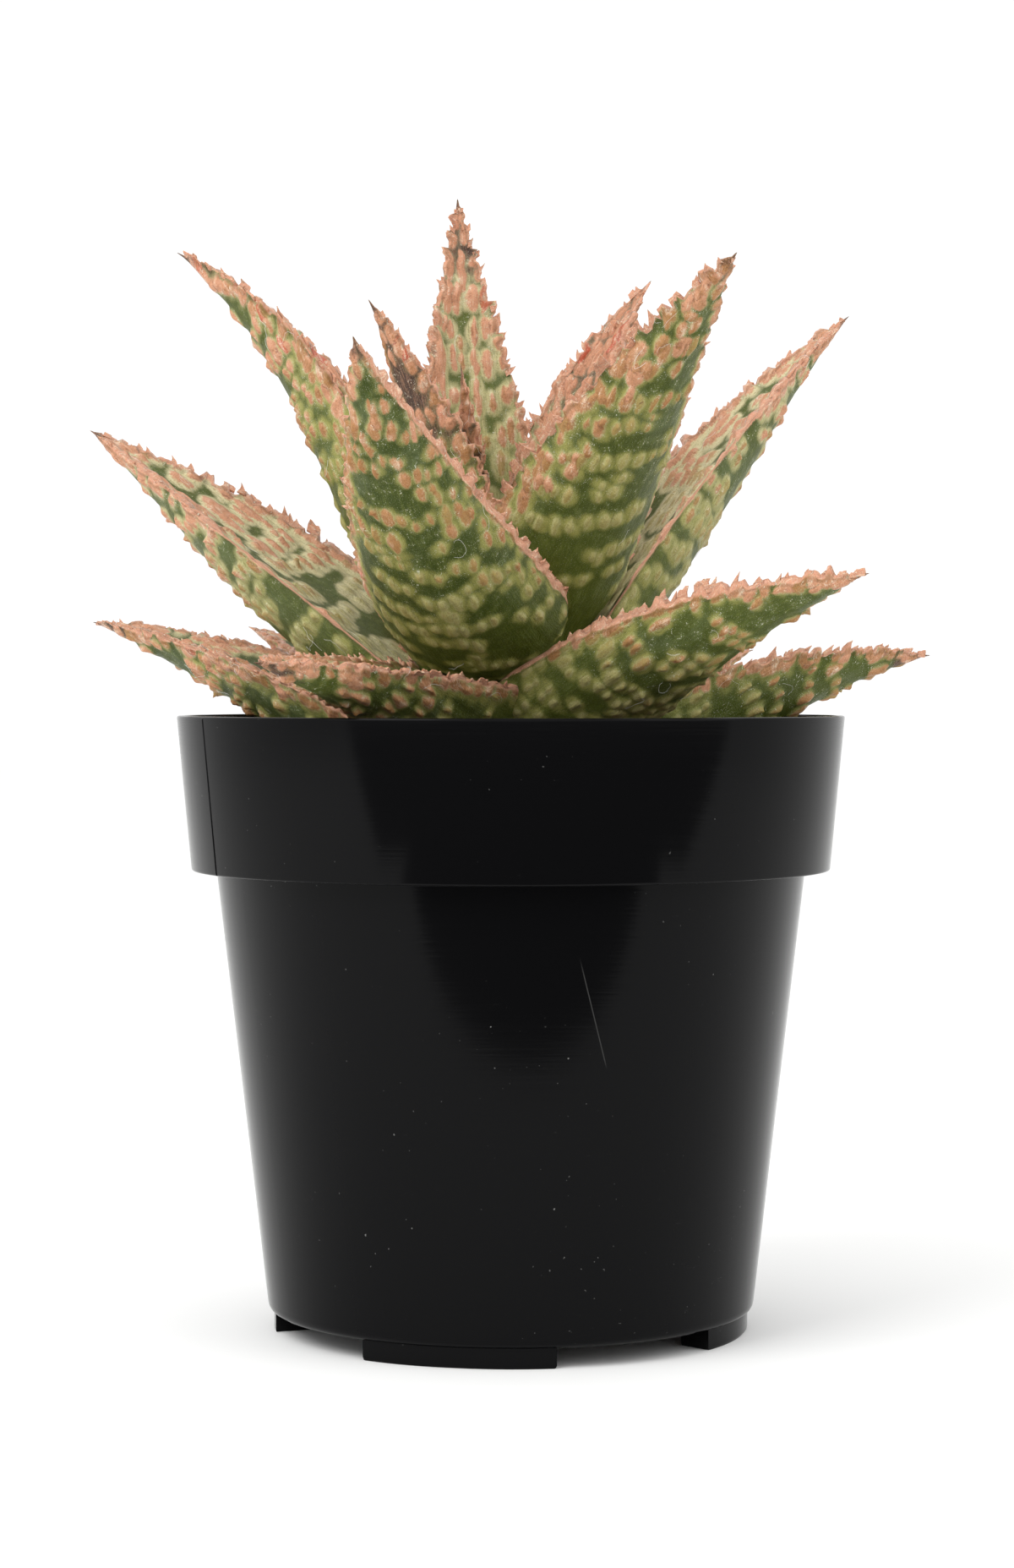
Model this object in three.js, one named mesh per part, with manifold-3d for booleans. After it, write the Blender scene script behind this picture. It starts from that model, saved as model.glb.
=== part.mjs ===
// A potted firecracker aloe: a rosette of thick, toothed, warty leaves on a short stem, in a plastic nursery
// pot filled with soil. Millimetres, +Z up. The origin is the centre of the pot's footprint, on the surface
// that the four feet stand on.
import * as THREE from "three";
import { mergeVertices } from "three/addons/utils/BufferGeometryUtils.js";
import Module from "manifold-3d";

const wasm = await Module();
wasm.setup();

// Pot: one moulding with a rim band over a straight tapered body, four low feet and drain holes.
const POT_HEIGHT = 96.5;
const RIM_TOP_RADIUS = 52.5;
const RIM_BOTTOM_RADIUS = 50.2;
const RIM_BAND = 24.2; // height of the band, from its lower edge to the top
const LEDGE = POT_HEIGHT - RIM_BAND;
const LEDGE_RADIUS = 46.3; // body radius right under the band
const BASE_RADIUS = 38.2;
const BASE_ROUND = 1.5;
const WALL = 1.25;
const LIP_ROUND = 0.4;
const FOOT_HEIGHT = 3;
const BASE_PLATE = 1.6;
const POT_FLOOR = FOOT_HEIGHT + BASE_PLATE;
const LEDGE_FLOOR = LEDGE + WALL;
const FOOT_RADIUS = 37.4;
const FOOT_WIDTH = 5.5; // measured outwards
const FOOT_SPAN = 47; // degrees round the base
const FOOT_INNER_SPAN = 44;
const FOOT_TURNS = [77, 167, 257, 347]; // degrees from +X, seen from above
const FOOT_OVERLAP = 0.6; // how far a foot reaches into the base plate
const FOOT_SEGMENTS = 10;
const DRAIN_RADIUS = 4.2;
const DRAIN_RING = 25;
const DRAIN_TURNS = [32, 122, 212, 302];
const DRAIN_SEGMENTS = 16;
const POT_SEGMENTS = 48;

// Soil and stem
const GAP = 0.3; // clearance between neighbouring pieces
const SOIL_TOP = 84;
const SOIL_LUMP = 1.1;
const SOIL_RINGS = [46, 40, 33, 26, 18, 10, 0];
const SOIL_SEGMENTS = 32;
const STEM_DEPTH = 14; // how far the stem stands in the soil
const STEM_RISE = 28; // how far it stands out
const STEM_RADIUS = 7;
const STEM_FOOT_RADIUS = 5.6;
const STEM_FOOT = 3; // height over which the buried end narrows
const STEM_SHOULDER = 6; // height over the soil from which the stem narrows
const STEM_TOP_RADIUS = 3.2;
const STEM_SEGMENTS = 16;

// Leaves
const ROOT_NARROWING = 0.8; // share of the width where the leaf leaves the stem
const ROOT_STRETCH = 0.16; // share of the length over which it widens
const CHANNEL = 0.22; // depth of the hollow upper face over half the width
const BACK_POWER = 0.6; // roundness of the leaf's back
const TIP_HALF_WIDTH = 0.5;
const TOOTH_SPACING = 6.4;
const TOOTH_HEIGHT = 1.9;
const TOOTH_SPREAD = [0.7, 1.3]; // smallest and largest tooth over TOOTH_HEIGHT
const TOOTH_LEAN = 0.9; // how far a tooth points towards the tip
const TEETH_FROM = 0.06; // shares of the length where teeth begin and have their full height
const TEETH_FULL = 0.26;
const TOOTH_LOSS = 0.55; // share of its height that a tooth loses towards the tip
const WART_HEIGHT = 0.8;
const WARTS_FROM = 0.05;
const WARTS_FULL = 0.2;
const WART_FULL_WIDTH = 6; // half width from which warts have their full height
const MIDRIB_STEPS = 60;
const LAST_RING = 0.97; // share of the length where the last ring lies
const UPPER_STATIONS = [-1, -0.6, 0, 0.6, 1]; // across the upper face, margin to margin
const BACK_STATIONS = [0.82, 0.46, 0, -0.46, -0.82];
const CUTTER_RINGS = 12;

// One entry for each leaf, oldest first. turn: azimuth of the midrib from +X. sway: sideways drift to the
// tip. pitch: rise at the root. bend: change of pitch to the tip, and ease: its power. wedge: half width
// gained for each mm from the tip. fat: depth of the back over half the width. roll: turn about the midrib.
// rise: height of the root over the soil. reach: distance of the root from the pot's axis.
const LEAVES = [
  { turn: 100, pitch: 22, bend: -14, length: 63, width: 26, fat: 0.8, rise: 8 },
  { turn: 52, pitch: 21, bend: -15, length: 66, width: 25, fat: 0.8, rise: 8 },
  { turn: 21, sway: 1.5, pitch: 29, bend: -29, length: 73.5, width: 28, fat: 1.1, roll: -18, rise: 4 },
  { turn: 154, sway: -1, pitch: 29, bend: -23, length: 78, width: 28, wedge: 0.27, fat: 1, roll: -4,
    rise: 4.5 },
  { turn: 132, pitch: 22, bend: -10, length: 66, width: 25, fat: 0.85, rise: 8 },
  { turn: 233, sway: 8.7, pitch: 7.5, bend: -8.4, length: 72, width: 31, wedge: 0.24, fat: 1.1, roll: -9,
    rise: 16.3, reach: -4 },
  { turn: 312.5, sway: -2, pitch: 29, bend: -24, length: 76, width: 27.5, fat: 0.85, roll: -15, rise: 11 },
  { turn: 72, pitch: 32, bend: -8, length: 69, width: 26, fat: 0.85, rise: 10 },
  { turn: 158, sway: -1, pitch: 39, bend: -13, length: 84.5, width: 26.5, wedge: 0.3, fat: 1, roll: -10,
    rise: 14 },
  { turn: 114, pitch: 40, bend: -6, length: 70, width: 26, fat: 0.85, rise: 14 },
  { turn: 27, pitch: 56, bend: -21, length: 84, width: 26.5, wedge: 0.27, fat: 0.9, roll: -1, rise: 18.5 },
  { turn: 97, pitch: 56, bend: -8, length: 68, width: 25, fat: 0.8, rise: 21 },
  { turn: 162, pitch: 67, bend: -42, ease: 1.6, length: 85.5, width: 28, fat: 1, roll: 8, rise: 22.5 },
  { turn: 62, pitch: 60, bend: -12, length: 60, width: 24, fat: 0.8, rise: 22 },
  { turn: 250.5, pitch: 7, bend: 41, ease: 0.6, length: 75, width: 30, wedge: 0.31, roll: 11, rise: 26 },
  { turn: 301, sway: 1.5, pitch: 51, bend: -18, length: 77, width: 27.5, wedge: 0.24, roll: -11,
    rise: 27.5 },
  { turn: 138, pitch: 74, bend: -16, length: 46, width: 18, fat: 0.8, rise: 27, reach: 3 },
  { turn: 205.5, pitch: 82, bend: -28, length: 54.5, width: 18, wedge: 0.235, roll: 13, rise: 26.5 },
  { turn: 18, sway: 1, pitch: 89, bend: -40, length: 59, width: 20, wedge: 0.24, roll: 26,
    rise: 27.5, reach: 2.7 },
  { turn: 112, pitch: 67, bend: 16, length: 74, width: 26, wedge: 0.235, roll: -5, rise: 25 },
  { turn: 337, pitch: 76, bend: -12, length: 35, width: 13, wedge: 0.24, rise: 27.5, reach: 3 },
  { turn: 190, pitch: 80, bend: 0, length: 40, width: 8, wedge: 0.22, fat: 0.7, rise: 28, reach: 1 },
].map((leaf) => ({ sway: 0, ease: 1, roll: 0, reach: 4, wedge: 0.25, fat: 0.75, ...leaf }));

const { degToRad: radians, lerp, smoothstep: ramp } = THREE.MathUtils;

// A repeatable number from 0 to 1 for a pair of whole numbers.
function chance(a, b) {
  const x = Math.sin(a * 12.9898 + b * 78.233) * 43758.5453;
  return x - Math.floor(x);
}

function solidOf(geometry) {
  const bare = geometry.clone();
  bare.deleteAttribute("normal");
  bare.deleteAttribute("uv");
  const merged = mergeVertices(bare, 1e-4);
  const triVerts = new Uint32Array(merged.index.array);
  return new wasm.Manifold(
    new wasm.Mesh({ numProp: 3, vertProperties: merged.attributes.position.array, triVerts }),
  );
}

function geometryOf(solid) {
  const mesh = solid.getMesh();
  return new THREE.BufferGeometry()
    .setAttribute("position", new THREE.BufferAttribute(new Float32Array(mesh.vertProperties), 3))
    .setIndex(new THREE.BufferAttribute(new Uint32Array(mesh.triVerts), 1));
}

function largestBody(solid) {
  return solid.decompose().reduce((best, body) => (body.volume() > best.volume() ? body : best));
}

// A closed skin over rings of points, with a fan at the first ring and a point at the end.
function skin(rings, apex) {
  const count = rings[0].length;
  const start = new THREE.Vector3();
  rings[0].forEach((p) => start.addScaledVector(p, 1 / count));
  const points = [...rings.flat(), start, apex];
  const startIndex = rings.length * count;
  const index = [];
  for (let j = 0; j < count; j++) {
    const k = (j + 1) % count;
    index.push(startIndex, j, k);
    for (let i = 0; i + 1 < rings.length; i++) {
      const near = i * count;
      const far = near + count;
      index.push(near + j, far + k, near + k, near + j, far + j, far + k);
    }
    const last = (rings.length - 1) * count;
    index.push(last + j, startIndex + 1, last + k);
  }
  return new THREE.BufferGeometry().setFromPoints(points).setIndex(index);
}

// Points along the midrib, as a curve from the root (t = 0) to the tip (t = 1).
function midribOf(leaf) {
  const turn = radians(leaf.turn);
  const point = new THREE.Vector3(leaf.reach * Math.cos(turn), leaf.reach * Math.sin(turn), leaf.rise);
  const points = [point.clone()];
  for (let i = 0; i < MIDRIB_STEPS; i++) {
    const step = directionAt(leaf, (i + 0.5) / MIDRIB_STEPS);
    point.addScaledVector(step, leaf.length / MIDRIB_STEPS);
    points.push(point.clone());
  }
  return points;
}

function directionAt(leaf, t) {
  const pitch = radians(leaf.pitch + leaf.bend * t ** leaf.ease);
  const turn = radians(leaf.turn + leaf.sway * t);
  return new THREE.Vector3(
    Math.cos(pitch) * Math.cos(turn),
    Math.cos(pitch) * Math.sin(turn),
    Math.sin(pitch),
  );
}

// The place on the midrib with its directions: along the leaf, across it, and out of its upper face.
function frameAt(leaf, midrib, t) {
  const at = t * MIDRIB_STEPS;
  const i = Math.min(Math.floor(at), MIDRIB_STEPS - 1);
  const point = midrib[i].clone().lerp(midrib[i + 1], at - i);
  const along = directionAt(leaf, t);
  const turn = radians(leaf.turn + leaf.sway * t);
  const across = new THREE.Vector3(-Math.sin(turn), Math.cos(turn), 0);
  across.applyAxisAngle(along, radians(leaf.roll));
  return { point, along, across, out: along.clone().cross(across) };
}

// Half width at a share t of the length: a wedge from the tip that eases into the full width.
function halfWidthAt(leaf, t) {
  const left = (1 - t) * leaf.length;
  const wedge = (leaf.wedge * left) / (leaf.width / 2);
  const full = ((leaf.width / 2) * wedge) / (1 + wedge ** 4) ** 0.25;
  const root = lerp(ROOT_NARROWING, 1, ramp(t, 0, ROOT_STRETCH));
  return Math.max(full * root, TIP_HALF_WIDTH);
}

const upperDepth = (half, u) => -CHANNEL * half * (1 - u * u);
const backDepth = (leaf, half, u) => -leaf.fat * half * (1 - u * u) ** BACK_POWER;

// Teeth and warts fade out where the leaf leaves the stem, and warts also where it gets narrow.
const toothAt = (t) => TOOTH_HEIGHT * ramp(t, TEETH_FROM, TEETH_FULL) * (1 - TOOTH_LOSS * t);
const wartAt = (half, t) =>
  WART_HEIGHT * ramp(t, WARTS_FROM, WARTS_FULL) * Math.min(1, half / WART_FULL_WIDTH);

// The leaf with its toothed margins and warty faces: rings lie alternately in the gaps and at the teeth.
function leafSolid(leaf, number) {
  const midrib = midribOf(leaf);
  const teeth = Math.round((leaf.length * LAST_RING) / TOOTH_SPACING);
  const shares = [];
  for (let k = 0; k < teeth; k++) {
    const tooth = k + lerp(0.5, 0.75, chance(number, k));
    shares.push((LAST_RING * k) / teeth, (LAST_RING * tooth) / teeth);
  }
  shares.push(LAST_RING);
  const rings = shares.map((t, i) => {
    const frame = frameAt(leaf, midrib, t);
    const half = halfWidthAt(leaf, t);
    const atTooth = i % 2 === 1;
    const wart = wartAt(half, t);
    const place = (u, depth, j) => {
      const point = frame.point.clone();
      if (Math.abs(u) === 1) {
        const tooth = atTooth ? toothAt(t) * lerp(...TOOTH_SPREAD, chance(number + j, i)) : 0;
        point.addScaledVector(frame.across, u * (half + tooth));
        return point.addScaledVector(frame.along, tooth && TOOTH_LEAN).addScaledVector(frame.out, depth);
      }
      const raised = (i + j) % 2 ? Math.sign(j - UPPER_STATIONS.length + 0.5) * wart : 0;
      return point.addScaledVector(frame.across, u * half).addScaledVector(frame.out, depth - raised);
    };
    return [
      ...UPPER_STATIONS.map((u, j) => place(u, upperDepth(half, u), j)),
      ...BACK_STATIONS.map((u, j) => place(u, backDepth(leaf, half, u), j + UPPER_STATIONS.length)),
    ];
  });
  return solidOf(skin(rings, frameAt(leaf, midrib, 1).point));
}

// A smooth, slightly larger copy of a leaf, which leaves room for it in the older leaves round it.
function leafRoom(leaf) {
  const midrib = midribOf(leaf);
  const rings = [];
  for (let i = 0; i <= CUTTER_RINGS; i++) {
    const t = (LAST_RING * i) / CUTTER_RINGS;
    const frame = frameAt(leaf, midrib, t);
    const half = halfWidthAt(leaf, t);
    const spare = wartAt(half, t) + GAP;
    const wide = half + toothAt(t) * TOOTH_SPREAD[1] + GAP;
    const place = (u, depth) =>
      frame.point.clone().addScaledVector(frame.across, u * wide).addScaledVector(frame.out, depth);
    rings.push([
      ...UPPER_STATIONS.map((u) => place(u, upperDepth(half, u) + spare)),
      ...[1, ...BACK_STATIONS, -1].map((u) => place(u, backDepth(leaf, half, u) - spare)),
    ]);
  }
  const end = frameAt(leaf, midrib, 1);
  return solidOf(skin(rings, end.point.addScaledVector(end.along, 2 * GAP)));
}

// A solid turned about Z from an outline of [radius, height] pairs that starts and ends on the axis.
function turned(outline, segments) {
  const profile = outline.map(([r, z]) => new THREE.Vector2(r, z));
  return new THREE.LatheGeometry(profile, segments).rotateX(Math.PI / 2);
}

// Inner radius of the pot at a height: in the rim band, and in the tapered body under it.
const rimBore = (z) => lerp(RIM_BOTTOM_RADIUS, RIM_TOP_RADIUS, (z - LEDGE) / RIM_BAND) - WALL;
const bodyBore = (z) => lerp(BASE_RADIUS, LEDGE_RADIUS, (z - FOOT_HEIGHT) / (LEDGE - FOOT_HEIGHT)) - WALL;

function footGeometry(turn) {
  const half = radians(FOOT_SPAN / 2);
  const innerHalf = radians(FOOT_INNER_SPAN / 2);
  const outline = new THREE.Shape();
  outline.absarc(0, 0, FOOT_RADIUS, -half, half, false);
  outline.absarc(0, 0, FOOT_RADIUS - FOOT_WIDTH, innerHalf, -innerHalf, true);
  outline.closePath();
  return new THREE.ExtrudeGeometry(outline, {
    depth: FOOT_HEIGHT + FOOT_OVERLAP,
    bevelEnabled: false,
    curveSegments: FOOT_SEGMENTS,
  }).rotateZ(radians(turn));
}

function potGeometry() {
  const shell = turned(
    [
      [0, FOOT_HEIGHT],
      [BASE_RADIUS - BASE_ROUND, FOOT_HEIGHT],
      [bodyBore(FOOT_HEIGHT + BASE_ROUND) + WALL, FOOT_HEIGHT + BASE_ROUND],
      [LEDGE_RADIUS, LEDGE],
      [RIM_BOTTOM_RADIUS, LEDGE],
      [RIM_TOP_RADIUS, POT_HEIGHT - LIP_ROUND],
      [RIM_TOP_RADIUS - LIP_ROUND, POT_HEIGHT],
      [rimBore(POT_HEIGHT), POT_HEIGHT],
      [rimBore(LEDGE_FLOOR), LEDGE_FLOOR],
      [bodyBore(LEDGE_FLOOR), LEDGE_FLOOR],
      [bodyBore(POT_FLOOR), POT_FLOOR],
      [0, POT_FLOOR],
    ],
    POT_SEGMENTS,
  );
  let pot = solidOf(shell);
  FOOT_TURNS.forEach((turn) => {
    pot = pot.add(solidOf(footGeometry(turn)));
  });
  const drain = new THREE.CylinderGeometry(DRAIN_RADIUS, DRAIN_RADIUS, 3 * BASE_PLATE, DRAIN_SEGMENTS)
    .rotateX(Math.PI / 2)
    .translate(0, 0, FOOT_HEIGHT + BASE_PLATE / 2);
  pot = pot.subtract(solidOf(drain));
  DRAIN_TURNS.forEach((turn) => {
    const side = drain.clone().translate(DRAIN_RING, 0, 0).rotateZ(radians(turn));
    pot = pot.subtract(solidOf(side));
  });
  return geometryOf(pot);
}

// Uneven ground, from -1 to 1.
const lumpAt = (x, y) =>
  Math.sin(0.31 * x + 1.7 * Math.sin(0.23 * y)) * Math.cos(0.37 * y + Math.sin(0.29 * x));

// The soil's outline up to its edge, then its uneven top from the edge to the middle.
function soilGeometry() {
  const geometry = turned(
    [
      [0, POT_FLOOR + GAP],
      [bodyBore(POT_FLOOR) - GAP, POT_FLOOR + GAP],
      [bodyBore(LEDGE_FLOOR) - GAP, LEDGE_FLOOR + GAP],
      [rimBore(LEDGE_FLOOR) - GAP, LEDGE_FLOOR + GAP],
      [rimBore(SOIL_TOP) - GAP, SOIL_TOP - SOIL_LUMP],
      ...SOIL_RINGS.map((radius) => [radius, SOIL_TOP]),
    ],
    SOIL_SEGMENTS,
  );
  const place = geometry.attributes.position;
  for (let i = 0; i < place.count; i++) {
    if (place.getZ(i) > SOIL_TOP - GAP) {
      place.setZ(i, SOIL_TOP + SOIL_LUMP * lumpAt(place.getX(i), place.getY(i)));
    }
  }
  const hole = stemGeometry(GAP).translate(0, 0, SOIL_TOP);
  return geometryOf(solidOf(geometry).subtract(solidOf(hole)));
}

// The stem in the rosette's frame, whose origin is on the soil. spare makes it larger all round.
function stemGeometry(spare) {
  return turned(
    [
      [0, -STEM_DEPTH - spare],
      [STEM_FOOT_RADIUS + spare, -STEM_DEPTH - spare],
      [STEM_RADIUS + spare, -STEM_DEPTH + STEM_FOOT],
      [STEM_RADIUS + spare, STEM_SHOULDER],
      [STEM_TOP_RADIUS + spare, STEM_RISE + spare],
      [0, STEM_RISE + spare],
    ],
    STEM_SEGMENTS,
  );
}

function piece(name, geometry, color, roughness) {
  geometry.computeVertexNormals();
  const material = new THREE.MeshStandardMaterial({ color, roughness, metalness: 0 });
  const mesh = new THREE.Mesh(geometry, material);
  mesh.name = name;
  return mesh;
}

// Leaves from the youngest outwards: each one leaves room for the stem, the soil, the pot and all younger
// leaves, and keeps its main body.
function leafPieces(soilLid, potRoom) {
  const taken = [solidOf(stemGeometry(GAP)), soilLid, potRoom];
  const pieces = [];
  for (let i = LEAVES.length - 1; i >= 0; i--) {
    let solid = leafSolid(LEAVES[i], i);
    taken.forEach((room) => {
      solid = solid.subtract(room);
    });
    taken.push(leafRoom(LEAVES[i]));
    const number = String(i + 1).padStart(2, "0");
    const green = new THREE.Color().setHSL(0.21 - 0.03 * chance(i, 5), 0.3, 0.38);
    pieces.unshift(piece("leaf_" + number, geometryOf(largestBody(solid)), green, 0.45));
  }
  return pieces;
}

// What leaves may not enter, in the rosette's frame: everything under the soil's top, and the pot's wall.
function soilLid() {
  const top = SOIL_LUMP + GAP;
  return solidOf(
    turned(
      [
        [0, -STEM_DEPTH],
        [RIM_TOP_RADIUS, -STEM_DEPTH],
        [RIM_TOP_RADIUS, top],
        [0, top],
      ],
      POT_SEGMENTS,
    ),
  );
}

function potRoom() {
  const top = POT_HEIGHT - SOIL_TOP + GAP;
  const inner = rimBore(SOIL_TOP) - GAP;
  const outer = RIM_TOP_RADIUS + WALL;
  const profile = [
    [inner, 0],
    [outer, 0],
    [outer, top],
    [rimBore(POT_HEIGHT) - GAP, top],
    [inner, 0],
  ];
  return solidOf(turned(profile, POT_SEGMENTS));
}

const aloe = new THREE.Group();
aloe.add(piece("pot", potGeometry(), 0x1c1c1e, 0.28));
aloe.add(piece("soil", soilGeometry(), 0x3a2a1f, 1));

const rosette = new THREE.Group();
rosette.position.z = SOIL_TOP;
rosette.add(piece("stem", stemGeometry(0), 0x8f8a5e, 0.8));
rosette.add(...leafPieces(soilLid(), potRoom()));
aloe.add(rosette);

export default aloe;
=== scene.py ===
import math
from dataclasses import dataclass

import bpy
import numpy as np
from bpy.props import FloatProperty, FloatVectorProperty, IntProperty, PointerProperty
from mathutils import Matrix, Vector


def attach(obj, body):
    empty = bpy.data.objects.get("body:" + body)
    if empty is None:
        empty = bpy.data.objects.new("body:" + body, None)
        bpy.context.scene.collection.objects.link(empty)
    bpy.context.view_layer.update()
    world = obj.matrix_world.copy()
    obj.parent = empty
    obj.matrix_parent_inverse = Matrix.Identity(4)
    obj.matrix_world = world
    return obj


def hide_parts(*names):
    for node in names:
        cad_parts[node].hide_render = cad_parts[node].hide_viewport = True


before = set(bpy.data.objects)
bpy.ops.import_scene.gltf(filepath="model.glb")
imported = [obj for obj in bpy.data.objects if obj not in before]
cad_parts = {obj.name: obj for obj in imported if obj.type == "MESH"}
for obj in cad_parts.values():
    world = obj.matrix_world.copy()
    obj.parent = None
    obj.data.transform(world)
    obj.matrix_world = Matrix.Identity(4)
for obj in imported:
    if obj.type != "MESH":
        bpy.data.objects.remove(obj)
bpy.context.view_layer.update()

bl_info = {
    "name": "Potted firecracker aloe",
    "version": (1, 0, 0),
    "blender": (4, 5, 0),
    "location": "View3D > Sidebar > Aloe",
    "description": "Leaves, pot, soil, stem and stage of a small potted aloe",
    "category": "Add Mesh",
}

# Lengths are in millimetres up to the point where a mesh is made, and angles in degrees.
MM = 0.001
SOIL_TOP = 84


@dataclass
class Leaf:
    """One leaf: its shape as the model has it, then its finish. Pairs are for the right and the left margin,
    seen from the upper face's root."""

    turn: float  # azimuth of the midrib from +X
    pitch: float  # rise at the root
    bend: float  # change of pitch up to the tip
    length: float
    width: float
    rise: float  # height of the root over the soil
    sway: float = 0  # sideways drift up to the tip
    ease: float = 1  # power with which the bend grows
    reach: float = 4  # distance of the root from the pot's axis
    wedge: float = 0.25  # half width gained for each mm from the tip
    fat: float = 0.75  # depth of the back over half the width
    roll: float = 0  # turn about the midrib
    rows: float = 6.2  # distance between the rows of warts
    slant: float = 0  # how far a row runs towards the tip for each mm to the left
    wander: float = 1.7  # how far a row waves
    dense: float = -0.2  # more double rows
    pink: float = 0  # riper warts
    pale: float = 0  # wider rings round the warts
    light: float = 0  # lighter green; below zero it is painted shade: fewer light patches, the root's deep green and dimmer rings
    brown: float = 5  # length of the brown skin behind the tip
    curl: float = 25  # rise of the teeth over the face
    bare: tuple = (0.08, 0.08)  # share of the length without teeth
    teeth: tuple = (1, 1)  # size of the teeth
    rind: tuple = (0.3, 0.3)  # width of the pink band
    patch: tuple = (1, 1)  # depth of the pink patches
    unseen: bool = False  # at the plant's back


# Oldest first, numbered as in the model
LEAVES = [
    Leaf(100, 22, -14, 63, 26, 8, fat=0.8, unseen=True),
    Leaf(52, 21, -15, 66, 25, 8, fat=0.8, unseen=True),
    # leaf_03: its light of -0.8 is painted shade over the whole leaf
    Leaf(21, 29, -29, 73.5, 28, 4, sway=1.5, fat=1.1, roll=-18, pink=-0.3, light=-0.8, brown=9, curl=50,
         teeth=(1.2, 1)),
    Leaf(154, 29, -23, 78, 28, 4.5, sway=-1, wedge=0.27, fat=1, roll=-4, brown=9, curl=40,
         patch=(1.5, 1.5)),
    Leaf(132, 22, -10, 66, 25, 8, fat=0.85, unseen=True),
    Leaf(233, 7.5, -8.4, 72, 31, 16.3, sway=8.7, reach=-4, wedge=0.24, fat=1.1, roll=-9, pink=-0.05,
         light=0.3, brown=12, curl=50, teeth=(0.9, 1)),
    Leaf(312.5, 29, -24, 76, 27.5, 11, sway=-2, fat=0.85, roll=-15, slant=0.15, pink=-0.25, light=0.4,
         curl=60, bare=(0.28, 0.08), teeth=(1.1, 0.8), rind=(0.7, 0.3)),
    Leaf(72, 32, -8, 69, 26, 10, fat=0.85, unseen=True),
    Leaf(158, 39, -13, 84.5, 26.5, 14, sway=-1, wedge=0.3, fat=1, roll=-10, rows=7.5, pink=-0.1, pale=0.4,
         light=0.4, brown=7, bare=(0.1, 0.62), teeth=(1.5, 0.8), rind=(0.5, 0.35)),
    Leaf(114, 40, -6, 70, 26, 14, fat=0.85, unseen=True),
    Leaf(27, 56, -21, 84, 26.5, 18.5, wedge=0.27, fat=0.9, roll=-1, rows=7.5, pink=-0.15, pale=0.4,
         light=0.4, bare=(0.7, 0.1), teeth=(1, 1.4), rind=(0.35, 0.5)),
    Leaf(97, 56, -8, 68, 25, 21, fat=0.8, unseen=True),
    Leaf(162, 67, -42, 85.5, 28, 22.5, ease=1.6, fat=1, roll=8, pink=0.2, pale=0.15, light=0.4, brown=9,
         teeth=(1.4, 1.4), rind=(0.15, 0.15), patch=(2, 2)),
    Leaf(62, 60, -12, 60, 24, 22, fat=0.8, unseen=True),
    Leaf(250.5, 7, 41, 75, 30, 26, ease=0.6, wedge=0.31, roll=11, slant=-0.5, wander=1.2,
         dense=-0.35, pink=-0.15, teeth=(0.8, 0.7), rind=(0.3, 1.2), patch=(1.5, 0.5)),
    Leaf(301, 51, -18, 77, 27.5, 27.5, sway=1.5, wedge=0.24, roll=-11, slant=0.4, wander=0.8,
         dense=-0.4, pink=-0.35, light=0.25, brown=7, teeth=(1.6, 0.7), patch=(6, 1)),
    Leaf(138, 74, -16, 46, 18, 27, reach=3, fat=0.8, unseen=True),
    Leaf(205.5, 82, -28, 54.5, 18, 26.5, wedge=0.235, roll=13, pink=0.3, brown=34),
    Leaf(18, 89, -40, 59, 20, 27.5, sway=1, reach=2.7, wedge=0.24, roll=26, pink=0.35, brown=34,
         teeth=(1.3, 1), patch=(5, 2)),
    Leaf(112, 67, 16, 74, 26, 25, wedge=0.235, roll=-5, pink=0.05, light=0.7, brown=16, teeth=(1.2, 1.2),
         rind=(0.1, 0.1), patch=(0.5, 0.5)),
    Leaf(337, 76, -12, 35, 13, 27.5, reach=3, wedge=0.24, pink=0.2, light=0.5),
    Leaf(190, 80, 0, 40, 8, 28, reach=1, wedge=0.22, fat=0.7, pink=0.2, light=0.3, brown=26),
]

# Shape of every leaf
ROOT_NARROWING = 0.8
ROOT_STRETCH = 0.16
CHANNEL = 0.22
BACK_POWER = 0.6
MIDRIB_STEPS = 60
TIP_TAPER = 2.5  # length of the needle that ends the leaf
TIP_HALF_WIDTH = 0.5
NEEDLE_HALF_WIDTH = 0.12
LOBE_TAPER = 4  # lobes shrink over this last stretch
LOBE_WIDTH = (1.6, 4.6)
BLOCK_SHARE = 0.3  # of the teeth
BLOCK_WIDTH = (1.3, 2.6)
SPIKE_WIDTH = (0.8, 1.9)
WART_HALF_LENGTH = ((0.85, 1.5), (1.2, 2.4))  # on the back and on the upper face
WART_HALF_WIDTH = ((0.34, 0.56), (0.4, 0.7))
PRICKLE_HEIGHT = (0.4, 0.9)
RING_SPREAD = 0.65  # how much wider than its wart a pale ring starts out
FAR = 3  # distance from which a wart or margin no longer colours the skin
LINT_RADIUS = 0.022
LINT_COUNT = 9
UNSEEN_LINT_COUNT = 3
LEAF_DISTANCE = 40  # keeps the noise of one leaf apart from that of the next

# Pot, in the frame of its footprint's centre
POT_HEIGHT = 96.5
RIM_TOP_RADIUS = 52.5
RIM_BOTTOM_RADIUS = 50.2
RIM_BAND = 24.2
LEDGE = POT_HEIGHT - RIM_BAND
LEDGE_RADIUS = 46.3
BASE_RADIUS = 38.2
WALL = 1.25
FOOT_HEIGHT = 3
BASE_PLATE = 1.6
FOOT_RADIUS = 37.4
FOOT_WIDTH = 5.5
FOOT_SPAN = 47
FOOT_TURNS = (77, 167, 257, 347)
DRAIN_RADIUS = 4.2
DRAIN_RING = 25
DRAIN_TURNS = (32, 122, 212, 302)
SEAM_TURN = 207.3
SCRATCH = ((9.9, 61.9), (14.1, 44.7))  # x and z of its ends on the front
DRILL_SIDES = 48
DRILL_REACH = 2
SHARP_ANGLE = 40

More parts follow.
